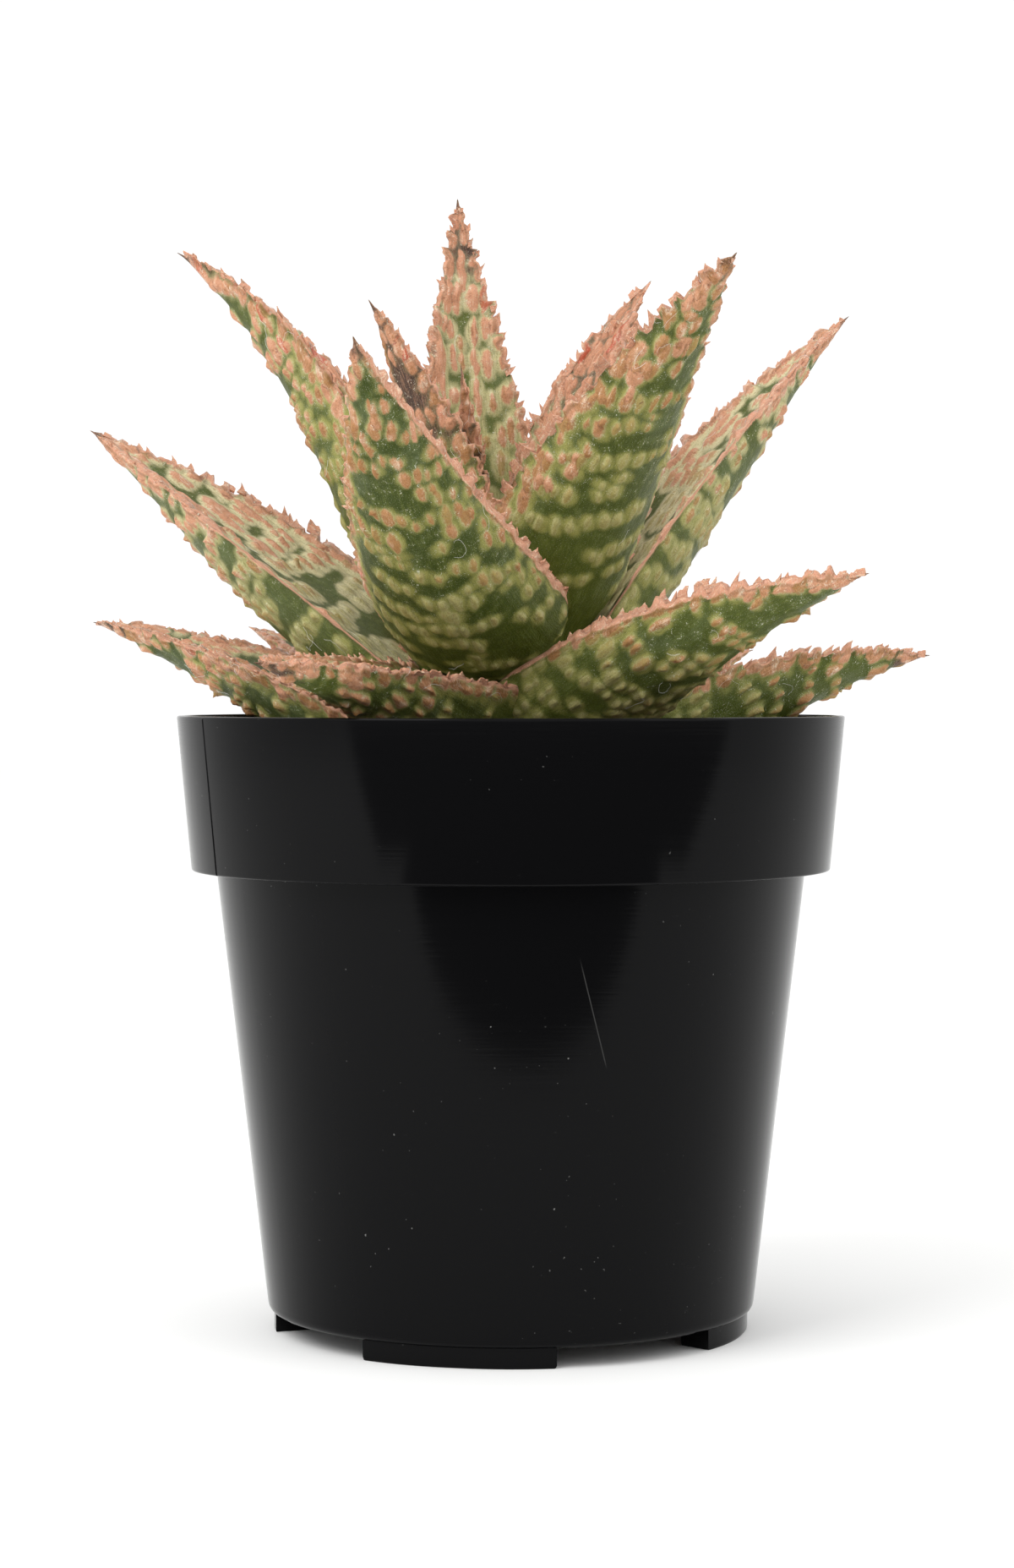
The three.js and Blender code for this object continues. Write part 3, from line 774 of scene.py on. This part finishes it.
def margin_teeth(body, leaf, number, settings, stands):
    """Thin pink teeth along both margins: narrow spikes and some square blocks that lean to the tip."""
    draw = np.random.default_rng((settings.seed, number, 2))
    full = leaf.length
    for side, bare, size, stand in zip((-1, 1), leaf.bare, leaf.teeth, stands):
        s = full * bare + draw.uniform(0, 2)
        while s < full - 1.2:
            t = s / full
            growth = size * smooth((t - bare) / 0.12 + 0.3) * (1 - 0.45 * smooth((t - 0.6) / 0.4))
            square = draw.random() < BLOCK_SHARE
            height = settings.tooth_height / MM * growth * draw.uniform(0.3, 1.0) * (0.9 if square else 1)
            width = draw.uniform(*(BLOCK_WIDTH if square else SPIKE_WIDTH)) * (0.5 + 0.5 * growth)
            ends = np.clip([t - 0.004, t, t + 0.004], 0, 1)
            point, _, across, out = frames(leaf, ends)
            edge = point + side * half_width(leaf, ends)[:, None] * across
            x_axis = unit(edge[2] - edge[0])
            y_axis = tooth_direction(leaf, side, across[1], out[1]) + out[1] * draw.normal(0, 0.25)
            y_axis = unit(y_axis - x_axis * np.dot(y_axis, x_axis))
            z_axis = np.cross(x_axis, y_axis)
            shape = np.array(BLOCK if square else SPIKE)
            shape = shape + draw.normal(0, 0.05, shape.shape) * (shape[:, 1:] > 0)
            flat = np.stack([shape[:, 0] * width, shape[:, 1] * height], 1)
            flat[:, 1] = np.where(shape[:, 1] < 0, -0.5, flat[:, 1])
            flat[:, 0] += draw.uniform(0.2, 0.75) * np.clip(flat[:, 1], 0, None)
            origin = edge[1] + 0.75 * np.interp(s, np.linspace(0, full, len(stand)), stand) * y_axis
            points, faces = plate(flat, origin, x_axis, y_axis, z_axis, 0.5 * min(1, growth + 0.3), 0.14)
            from_edge = points - origin
            place = np.column_stack([
                s + from_edge @ x_axis, 20 + from_edge @ y_axis, np.full(len(points), number),
            ])
            body.add(
                points, faces, flat=True, wart=1, crease=1, ring=1, ripe=1 + draw.normal(0, 0.2), rind=-1,
                upper=1, along=t, pale=0, light=0, place=place, tip=full - s + 2, brown=5, lint=0,
            )
            s += settings.tooth_spacing / MM * draw.uniform(0.35, 1.5)


def make_leaf(number, settings, material):
    leaf = LEAVES[number]
    body = Body()
    stands = leaf_skin(body, leaf, number, settings)
    margin_teeth(body, leaf, number, settings, stands)
    name = f"leaf_{number + 1:02d}"
    return body.make(name + "_skin", material, "leaf", name)


def leaf_material(look):
    """Green skin with waxy patches, pale rings, pink warts, rind and a withered tip, with painted shade in
    the creases between warts and over a leaf whose light is below zero.
    """
    g = Graph("aloe leaf")
    place = g.attribute("place", "Vector")
    along, upper, pale, light, wart, ripe, rind = (
        g.attribute(name) for name in ("along", "upper", "pale", "light", "wart", "ripe", "rind")
    )

    # Noise from -0.5 to 0.5, from coarse to fine
    broad = g.noise(place, 0.14, 2.0) - 0.5
    patchy = g.noise(place, 0.6, 3.0, 0.6) - 0.5
    fine = g.noise(place, 2.6, 4.0, 0.65) - 0.5
    grain = g.noise(place, 6.5, 2.0, 0.6) - 0.5
    fibre = g.noise(g.stretch(place, 0.3, 3.0, 1.0), 1.0, 3.0, 0.6) - 0.5

    # Green ground with bloom, brown behind the tip
    ground = g.mix(g.ramp(along, 0.05, 0.45), look.ground_deep, look.ground)
    # Lighter green for a positive light; a negative light is painted shade that takes the light patches away
    lighter = light * 0.6 + g.ramp(patchy + fibre * 0.8, -0.15, 0.3) * 0.5
    ground = g.mix(lighter.clamped(), ground, look.ground_light)
    bloom = g.ramp(broad + fine * 0.4 + patchy * 0.4, -0.05, 0.2) * g.ramp(along, 0.2, 0.5)
    ground = g.mix(bloom * 0.28, ground, look.bloom)
    # Painted shade: a leaf with negative light takes on the deep green of the root
    ground = g.mix(g.ramp(light, 0.0, -0.6) * 0.75, ground, look.ground_deep)
    withered = g.mix(g.ramp(fibre + fine * 0.5, -0.1, 0.2), look.dry, look.withered)
    brown = g.ramp(g.attribute("brown") + patchy * 0.8, 1.0, 0.6)
    ground = g.mix(brown, ground, withered)

    # Pale rings
    near = g.attribute("ring") - upper * 0.3 - pale * 0.9 + patchy * 1.0 + fine * 1.1 + fibre * 1.0
    near = near + g.ramp(along, 0.4, 0.9, -0.1, 0.6)
    creamy = g.ramp(upper * 0.45 + along * 0.75 + patchy * 0.5 + fibre * 0.3 + pale * 0.9, 0.45, 1.2)
    halo = g.mix(creamy, look.halo, look.cream)
    halo = g.mix(g.ramp(wart + fine * 0.5, 0.5, 0.0) * 0.35, halo, look.cream)
    # Painted shade: a leaf with negative light gets dimmer rings
    halo = g.mix(g.ramp(light, 0.0, -0.6) * 0.5, halo, look.ground_light)
    halo = g.mix(g.ramp(fibre + fine * 0.6 + grain * 0.3, 0.05, -0.3) * 0.55, halo, ground)
    skin = g.mix(g.ramp(near, 0.95, -0.2) * (1.0 - brown * 0.8), ground, halo)

    # Warts, and painted shade in the creases where two of them meet
    ripeness = ripe + patchy * 0.5
    core = g.mix(g.ramp(ripeness, 0.1, 0.8), look.wart, look.ripe_low)
    core = g.mix(g.ramp(ripeness + creamy * 0.7 + fine * 0.5, 0.75, 1.35), core, look.ripe)
    core = g.mix(g.ramp(ripeness, 1.4, 1.7), core, look.red)
    streaks = g.ramp(fibre + patchy + grain * 0.3, 0.02, 0.3) * g.ramp(ripeness, 0.5, 0.9)
    core = g.mix(streaks * 0.6, core, look.rind_pale)
    core = g.mix(g.ramp(patchy + fine * 0.7, 0.0, -0.3) * 0.45, core, look.dark_rind_and_crease_shade)
    sharp = wart + fine * 1.0 + fibre * 0.6 + patchy * 0.3 + grain * 0.3
    skin = g.mix(g.ramp(sharp, 0.32, -0.22) * g.ramp(ripeness, -0.3, 0.6, 0.45, 0.95), skin, core)
    # Painted shade: the dark rind colour darkens the crease where two warts meet
    crease = g.ramp(g.attribute("crease") + fine * 0.5, 0.3, 0.0) * g.ramp(wart, 0.1, -0.2)
    skin = g.mix(crease * 0.6, skin, look.dark_rind_and_crease_shade)

    # Margins and teeth
    edge = g.mix(g.ramp(patchy + fine * 0.5, 0.0, 0.22) * 0.7, look.rind, look.dark_rind_and_crease_shade)
    streaks = g.ramp(fibre + fine * 0.7 + grain * 0.4 - patchy * 0.3, 0.0, 0.25)
    edge = g.mix(streaks * 0.75, edge, look.rind_pale)
    dark_line = g.ramp(rind, 0.5, 0.3) * g.ramp(rind, -0.05, 0.15)
    skin = g.mix(dark_line * 0.3, skin, tone(74, 62, 34))
    skin = g.mix(g.ramp(rind + fine * 0.5 + patchy * 0.4, 0.12, -0.12), skin, edge)

    # Dry tip, dark specks, white crust and fibres
    skin = g.mix(g.ramp(g.attribute("tip") + fine * 3.0 + patchy * 4.0, 0.4, 3.2, 0.9, 0.0), skin, withered)
    skin = g.mix(g.ramp(grain + fine * 0.3, 0.0, -0.25) * 0.32, skin, tone(52, 46, 22))
    crust = g.ramp(fine + grain * 0.5, 0.06, 0.18) * g.ramp(patchy, 0.0, 0.12) * g.ramp(along, 0.25, 0.5)
    specks = g.ramp(grain + fine * 0.2, 0.1, 0.2) * 0.3
    skin = g.mix((crust * 0.7 + specks).clamped(), skin, tone(222, 221, 200))
    skin = g.mix(g.attribute("lint"), skin, tone(232, 230, 222))

    g.surface(Base_Color=skin)
    g.surface(Roughness=0.42 + fine * 0.35 + bloom * 0.15 - g.ramp(wart, 0.3, -0.2) * 0.06)
    g.surface(Normal=g.bump(fine * 0.7 + fibre * 0.5 + grain * 0.25, 0.0005, 0.6))
    g.surface(Subsurface_Weight=0.12, Subsurface_Radius=(1.0, 0.6, 0.25), Subsurface_Scale=0.001)
    g.surface(Specular_IOR_Level=0.2, Coat_Roughness=0.22, Coat_IOR=1.4)
    g.surface(Coat_Weight=g.ramp(wart + fine, 0.2, -0.3) * g.ramp(grain + patchy, -0.05, 0.15) * 0.7)
    return g.material


class ALOE_OT_leaves(bpy.types.Operator):
    """Makes every leaf of the rosette with its teeth and warts"""

    bl_idname = "aloe.leaves"
    bl_label = "Leaves"

    def execute(self, context):
        settings = context.scene.aloe_leaves
        material = leaf_material(settings)
        for number in range(len(LEAVES)):
            make_leaf(number, settings, material)
        return {"FINISHED"}


# Pot


def fillet(corners, steps=5):
    """An outline through (radius, height, rounding) corners, with bends in place of the rounded ones."""
    outline = []
    count = len(corners)
    for i, (r, z, rounding) in enumerate(corners):
        here = np.array([r, z], float)
        if rounding == 0 or i in (0, count - 1):
            outline.append(here)
            continue
        before = np.array(corners[i - 1][:2], float) - here
        after = np.array(corners[i + 1][:2], float) - here
        start = here + before / np.linalg.norm(before) * rounding
        end = here + after / np.linalg.norm(after) * rounding
        for step in np.linspace(0, 1, steps + 1):
            near = start * (1 - step) + here * step
            far = here * (1 - step) + end * step
            outline.append(near * (1 - step) + far * step)
    return np.array(outline)


def pot_outline():
    """The wall's section, from the middle of its underside round the lip to the middle of its floor."""
    slope = (LEDGE_RADIUS - BASE_RADIUS) / (LEDGE - FOOT_HEIGHT)
    floor = FOOT_HEIGHT + BASE_PLATE
    ledge_floor = LEDGE + WALL

    def bore(z):
        return BASE_RADIUS + slope * (z - FOOT_HEIGHT) - WALL

    def rim_bore(z):
        return RIM_BOTTOM_RADIUS + (RIM_TOP_RADIUS - RIM_BOTTOM_RADIUS) * (z - LEDGE) / RIM_BAND - WALL

    return fillet([
        (0, FOOT_HEIGHT, 0),
        (BASE_RADIUS, FOOT_HEIGHT, 1.5),
        (LEDGE_RADIUS, LEDGE, 0.3),
        (RIM_BOTTOM_RADIUS, LEDGE, 0.35),
        (RIM_TOP_RADIUS, POT_HEIGHT, 0.45),
        (rim_bore(POT_HEIGHT), POT_HEIGHT, 0.4),
        (rim_bore(ledge_floor), ledge_floor, 0.5),
        (bore(ledge_floor), ledge_floor, 0.4),
        (bore(floor), floor, 1.0),
        (0, floor, 0),
    ])


def revolve(outline, turns):
    """Rings of points, end points and faces of an outline turned about Z, which starts and ends on Z."""
    radii, heights = outline[1:-1].T
    points = np.stack([
        radii[:, None] * np.cos(turns), radii[:, None] * np.sin(turns),
        np.repeat(heights[:, None], len(turns), axis=1),
    ], -1)
    ends = np.array([(0, 0, outline[0][1]), (0, 0, outline[-1][1])])
    return points, ends, tube(len(radii), len(turns), poles=True)


def foot_body(turn):
    """One foot: an arc-shaped block with a bevel below, sunk into the base plate."""
    half = FOOT_SPAN / 2
    outer = np.radians(turn + np.linspace(-half, half, 25))
    inner = np.radians(turn + np.linspace(half * 0.94, -half * 0.94, 17))
    ring = np.vstack([circle(FOOT_RADIUS, outer), circle(FOOT_RADIUS - FOOT_WIDTH, inner)])
    inward = unit(ring.mean(0) - ring)
    layers = [
        np.column_stack([ring + inward * bevel, np.full(len(ring), z)])
        for z, bevel in ((0, 0.35), (0.12, 0.15), (0.5, 0), (FOOT_HEIGHT + 0.6, 0))
    ]
    return np.vstack(layers), tube(len(layers), len(ring))


def pot_material(look):
    """Black gloss with fine rubbing round the wall, specks of dust and one light scratch."""
    g = Graph("pot plastic")
    place = g.node("TexCoord", output="Object")
    brushed = g.noise(g.stretch(place, 60, 60, 2600), 1.0, 3.0, 0.6)
    cloudy = g.noise(place, 38, 3.0, 0.55)
    specks = g.noise(place, 1500, 1.0, 0.4)
    dusty = g.ramp(specks, 0.78, 0.84) * g.ramp(cloudy, 0.42, 0.62)
    scuffed = g.ramp(g.noise(g.stretch(place, 240, 240, 900), 1.0, 4.0, 0.75), 0.66, 0.78)
    worn = scuffed * g.ramp(cloudy, 0.5, 0.62)
    x, y, z = (g.node("SeparateXYZ", None, {0: place}, output) for output in range(3))
    (start_x, start_z), (end_x, end_z) = SCRATCH
    lean = (end_x - start_x) / (end_z - start_z)
    offset = x - (z - start_z * MM) * lean - start_x * MM
    aside = offset.math("ABSOLUTE", offset)
    scratch = g.ramp(aside, 0.00012, 0.00003) * g.ramp(y, -0.03, -0.035)
    scratch = scratch * g.ramp(z, end_z * MM, (end_z + 2) * MM) * g.ramp(z, start_z * MM, (start_z - 4) * MM)
    worn = worn + scratch * 1.5
    shade = g.mix((dusty * 0.8 + worn * 0.12).clamped(), look.plastic, look.dust)
    g.surface(Base_Color=shade, Roughness=0.06 + brushed * 0.09 + cloudy * 0.04 + dusty * 0.4 + worn * 0.25)
    g.surface(Normal=g.bump(brushed * 0.5 + cloudy * 0.5, 0.00004, 0.35))
    g.surface(IOR=1.28, Specular_IOR_Level=0.2)
    return g.material


class ALOE_OT_pot(bpy.types.Operator):
    """Makes the pot: wall with its rim band, floor with drain holes, four feet and the mould seam"""

    bl_idname = "aloe.pot"
    bl_label = "Pot"

    def execute(self, context):
        settings = context.scene.aloe_pot
        seam = math.radians(SEAM_TURN)
        half_seam = settings.seam_width / MM / RIM_TOP_RADIUS / 2
        even = all_round(settings.segments)
        even = even[np.abs(even - seam) > 3 * half_seam]
        turns = np.sort(np.concatenate([even, seam + half_seam * np.array([-2, -1, -0.4, 0.4, 1, 2])]))
        points, ends, faces = revolve(pot_outline(), turns)
        height = points[..., 2]
        radius = np.hypot(points[..., 0], points[..., 1])
        outside = (height > LEDGE) & (height < POT_HEIGHT - 0.3) & (radius > RIM_BOTTOM_RADIUS - 0.2)
        on_seam = np.abs(turns - seam) < half_seam * 0.7
        ridge = np.where(on_seam, settings.seam_height / MM, 0)[None] * outside
        points = points + (ridge / radius)[..., None] * points * (1, 1, 0)
        body = Body()
        body.add(np.vstack([points.reshape(-1, 3), ends]), faces)
        for turn in FOOT_TURNS:
            body.add(*foot_body(turn))
        pot = body.make("pot_wall", pot_material(settings), "pot", "pot")
        self.drill(pot)
        return {"FINISHED"}

    def drill(self, pot):
        """Cuts the drain holes through the floor."""
        drills = Body()
        for centre in [(0, 0), *circle(DRAIN_RING, np.radians(DRAIN_TURNS))]:
            ring = circle(DRAIN_RADIUS, all_round(DRILL_SIDES), centre)
            ends = (FOOT_HEIGHT - DRILL_REACH, FOOT_HEIGHT + BASE_PLATE + DRILL_REACH)
            layers = [np.column_stack([ring, np.full(DRILL_SIDES, z)]) for z in ends]
            drills.add(np.vstack(layers), tube(2, DRILL_SIDES))
        cutter = mesh_object("drills", np.vstack(drills.points), drills.faces)
        cut = pot.modifiers.new("drain holes", "BOOLEAN")
        cut.operation = "DIFFERENCE"
        cut.solver = "EXACT"
        cut.use_self = True
        cut.object = cutter
        bake_modifiers(pot)
        bpy.data.objects.remove(cutter)


def bake_modifiers(piece):
    """Replaces a piece's mesh by its evaluated one and drops its modifiers."""
    graph = bpy.context.evaluated_depsgraph_get()
    mesh = bpy.data.meshes.new_from_object(piece.evaluated_get(graph))
    piece.modifiers.clear()
    piece.data = mesh
    mesh.shade_smooth()
    mesh.set_sharp_from_angle(angle=math.radians(SHARP_ANGLE))


# Soil and stem


def soil_height(x, y):
    """The uneven top that the model has."""
    lump = np.sin(0.31 * x + 1.7 * np.sin(0.23 * y)) * np.cos(0.37 * y + np.sin(0.29 * x))
    return SOIL_TOP + SOIL_LUMP * lump


def soil_material(look):
    g = Graph("potting mix")
    place = g.node("TexCoord", output="Object")
    grain = g.attribute("grain")
    lumps = g.noise(place, 420, 4.0, 0.7)
    shade = g.mix(g.ramp(lumps, 0.35, 0.65), look.peat, look.bark)
    shade = g.mix(g.ramp(grain, 0.45, 0.55), shade, look.bark)
    shade = g.mix(g.ramp(grain, 0.85, 0.95), shade, look.perlite)
    fine = g.noise(place, 1500, 3.0, 0.7)
    g.surface(Base_Color=g.mix(fine * 0.5, shade, tone(24, 17, 12)), Roughness=0.95)
    g.surface(Normal=g.bump(lumps + fine, 0.0006, 0.8))
    return g.material


class ALOE_OT_soil(bpy.types.Operator):
    """Makes the potting mix with loose chips of bark and pale grains on top"""

    bl_idname = "aloe.soil"
    bl_label = "Soil"

    def execute(self, context):
        settings = context.scene.aloe_pot
        draw = np.random.default_rng(SOIL_SEED)
        body = Body()
        rim_slope = (RIM_TOP_RADIUS - RIM_BOTTOM_RADIUS) / RIM_BAND
        edge = RIM_BOTTOM_RADIUS + rim_slope * (SOIL_TOP - LEDGE) - WALL - 0.05
        radii = np.linspace(edge, 0, SOIL_RINGS + 1)[:-1, None]
        x, y = np.moveaxis(circle(radii, all_round(SOIL_SIDES)), -1, 0)
        rough = 0.5 * ripple(x / 2.1 + 30, y / 2.1 + 30, 3) + 0.25 * ripple(x + 60, y + 60, 4)
        top = np.stack([x, y, soil_height(x, y) + rough - 0.3], -1)
        base = FOOT_HEIGHT + BASE_PLATE + SOIL_CLEARANCE
        ledge = LEDGE + WALL + SOIL_CLEARANCE
        rings = [
            np.column_stack([x[0] * radius / edge, y[0] * radius / edge, np.full(SOIL_SIDES, z)])
            for radius, z in ((SOIL_BASE_RADIUS, base), (SOIL_LEDGE_RADIUS, ledge), (edge, ledge))
        ]
        ends = [(0, 0, base), (0, 0, float(soil_height(0, 0)))]
        points = np.vstack([*rings, top.reshape(-1, 3), ends])
        body.add(points, tube(len(rings) + SOIL_RINGS, SOIL_SIDES, poles=True), grain=0)
        for _ in range(settings.chips):
            self.chip(body, draw, edge)
        body.make("soil_mix", soil_material(settings), "soil", "soil")
        return {"FINISHED"}

    def chip(self, body, draw, edge):
        """One loose bit: a squashed, twisted box with uneven corners."""
        radius = edge * math.sqrt(draw.uniform(0.03, 0.93))
        turn = draw.uniform(0, 2 * math.pi)
        pale = draw.random() < GRAIN_SHARE
        size = draw.uniform(*(GRAIN_SIZE if pale else BARK_SIZE))
        shape = np.array(GRAIN_SHAPE if pale else BARK_SHAPE)
        square = ((-1, -1), (1, -1), (1, 1), (-1, 1))
        corners = np.array([(x, y, z) for z in (-1, 1) for x, y in square], float)
        corners = (corners * 0.5 + draw.normal(0, 0.12, corners.shape)) * shape * size
        a, b = draw.uniform(0, 2 * math.pi), draw.normal(0, 0.4)
        spin = np.array([[math.cos(a), -math.sin(a), 0], [math.sin(a), math.cos(a), 0], [0, 0, 1]])
        tilt = np.array([[1, 0, 0], [0, math.cos(b), -math.sin(b)], [0, math.sin(b), math.cos(b)]])
        x, y = radius * math.cos(turn), radius * math.sin(turn)
        place = np.array([x, y, float(soil_height(x, y)) + 0.1 * size])
        grain = 1.0 if pale else draw.choice((0.3, 0.7))
        body.add(corners @ (spin @ tilt).T + place, tube(2, 4), grain=grain)


def stem_material(look):
    g = Graph("stem skin")
    place = g.node("TexCoord", output="Object")
    bands = g.noise(g.stretch(place, 90, 90, 700), 1.0, 3.0, 0.6)
    shade = g.mix(g.ramp(bands, 0.35, 0.7), look.stem, tone(112, 92, 62))
    g.surface(Base_Color=shade, Roughness=0.7, Normal=g.bump(bands, 0.0004, 0.6))
    return g.material


class ALOE_OT_stem(bpy.types.Operator):
    """Makes the short stem with the scars where leaves sat"""

    bl_idname = "aloe.stem"
    bl_label = "Stem"

    def execute(self, context):
        heights = np.linspace(-STEM_DEPTH, STEM_RISE, STEM_RINGS)
        taper = np.clip((heights - STEM_SHOULDER) / (STEM_RISE - STEM_SHOULDER), 0, 1)
        radius = STEM_RADIUS + (STEM_TOP_RADIUS - STEM_RADIUS) * taper
        radius = radius - SCAR_DEPTH * (0.5 + 0.5 * np.cos(heights * 2 * math.pi / SCAR_SPACING))
        radius[:6] *= np.linspace(0.8, 1, 6)
        wall = np.stack([radius, SOIL_TOP + heights], 1)
        outline = np.vstack([[(0, SOIL_TOP - STEM_DEPTH)], wall, [(0, SOIL_TOP + STEM_RISE)]])
        points, ends, faces = revolve(outline, all_round(STEM_SIDES))
        body = Body()
        body.add(np.vstack([points.reshape(-1, 3), ends]), faces)
        body.make("stem_skin", stem_material(context.scene.aloe_pot), "stem", "stem")
        return {"FINISHED"}


# Stage


def area_light(name, place, side, power):
    """A square light that faces the plant."""
    lamp = bpy.data.lights.new(name, "AREA")
    lamp.size = side * MM
    lamp.energy = power
    holder = bpy.data.objects.new(name, lamp)
    holder.location = Vector(place) * MM
    holder.rotation_euler = (Vector(LIGHT_TARGET) - Vector(place)).to_track_quat("-Z", "Y").to_euler()
    bpy.context.scene.collection.objects.link(holder)


class ALOE_OT_stage(bpy.types.Operator):
    """Makes the pale floor, the soft lights, the white surroundings and the camera"""

    bl_idname = "aloe.stage"
    bl_label = "Stage"

    def execute(self, context):
        settings = context.scene.aloe_stage
        scene = context.scene
        self.floor(settings)
        self.dark_cards()
        world = bpy.data.worlds.new("white surroundings")
        world.use_nodes = True
        background = world.node_tree.nodes["Background"].inputs
        background["Color"].default_value = (1, 1, 1, 1)
        background["Strength"].default_value = settings.sky
        scene.world = world
        scene.view_settings.view_transform = "Standard"
        area_light("key light", KEY_PLACE, KEY_SIDE, settings.key)
        area_light("fill light", FILL_PLACE, FILL_SIDE, settings.fill)
        self.camera(scene)
        return {"FINISHED"}

    def floor(self, settings):
        g = Graph("pale floor")
        g.surface(Base_Color=tuple(settings.floor), Roughness=0.8)
        rim = np.column_stack([circle(FLOOR_RADIUS, all_round(96)), np.zeros(96)])
        mesh_object("floor", rim, [tuple(range(96))], g.material)

    def dark_cards(self):
        """Flat dark shapes in front of the pot that only its gloss shows, as a studio's dark parts do."""
        g = Graph("dark card")
        g.surface(Base_Color=tone(40, 40, 40), Roughness=0.9)
        near = np.array(NEAR_CARD_CENTRE) + circle(1, all_round(48)) * NEAR_CARD_RADII
        inner = circle(FAR_CARD_RADII[0], np.radians(np.linspace(-133, -32, 24)))
        outer = circle(FAR_CARD_RADII[1], np.radians(np.linspace(-12, -146, 24)))
        for name, outline, height in (
            ("near card", near, NEAR_CARD_HEIGHT),
            ("far card", np.vstack([inner, outer]), FAR_CARD_HEIGHT),
        ):
            points = np.column_stack([outline, np.full(len(outline), height)])
            card = mesh_object(name, points, [tuple(range(len(points)))], g.material)
            card.visible_camera = False
            card.visible_diffuse = False
            card.visible_shadow = False

    def camera(self, scene):
        lens = bpy.data.cameras.new("camera")
        lens.sensor_width = SENSOR
        lens.lens = SENSOR * FOCAL_PIXELS / IMAGE_HEIGHT
        lens.clip_start, lens.clip_end = (distance * MM for distance in CAMERA_CLIP)
        holder = bpy.data.objects.new("camera", lens)
        holder.location = Vector(CAMERA_PLACE) * MM
        holder.rotation_euler = (math.radians(90 + CAMERA_PITCH), 0, 0)
        scene.collection.objects.link(holder)
        scene.camera = holder


class ALOE_PT_panel(bpy.types.Panel):
    """Lists the pieces of the plant"""

    bl_label = "Potted aloe"
    bl_idname = "ALOE_PT_panel"
    bl_space_type = "VIEW_3D"
    bl_region_type = "UI"
    bl_category = "Aloe"

    def draw(self, context):
        for operator, settings in (
            (ALOE_OT_leaves, context.scene.aloe_leaves),
            (ALOE_OT_pot, context.scene.aloe_pot),
            (ALOE_OT_soil, None),
            (ALOE_OT_stem, None),
            (ALOE_OT_stage, context.scene.aloe_stage),
        ):
            box = self.layout.box()
            box.operator(operator.bl_idname)
            if settings:
                for name in settings.__annotations__:
                    box.prop(settings, name)


SETTINGS = {"aloe_leaves": AloeLeafSettings, "aloe_pot": AloePotSettings, "aloe_stage": AloeStageSettings}
CLASSES = (
    *SETTINGS.values(), ALOE_OT_leaves, ALOE_OT_pot, ALOE_OT_soil, ALOE_OT_stem, ALOE_OT_stage,
    ALOE_PT_panel,
)


def register():
    for cls in CLASSES:
        bpy.utils.register_class(cls)
    for name, cls in SETTINGS.items():
        setattr(bpy.types.Scene, name, PointerProperty(type=cls))


def unregister():
    for name in SETTINGS:
        delattr(bpy.types.Scene, name)
    for cls in reversed(CLASSES):
        bpy.utils.unregister_class(cls)


def main():
    register()
    bpy.ops.aloe.leaves()
    bpy.ops.aloe.pot()
    bpy.ops.aloe.soil()
    bpy.ops.aloe.stem()
    bpy.ops.aloe.stage()


if __name__ == "__main__":
    main()
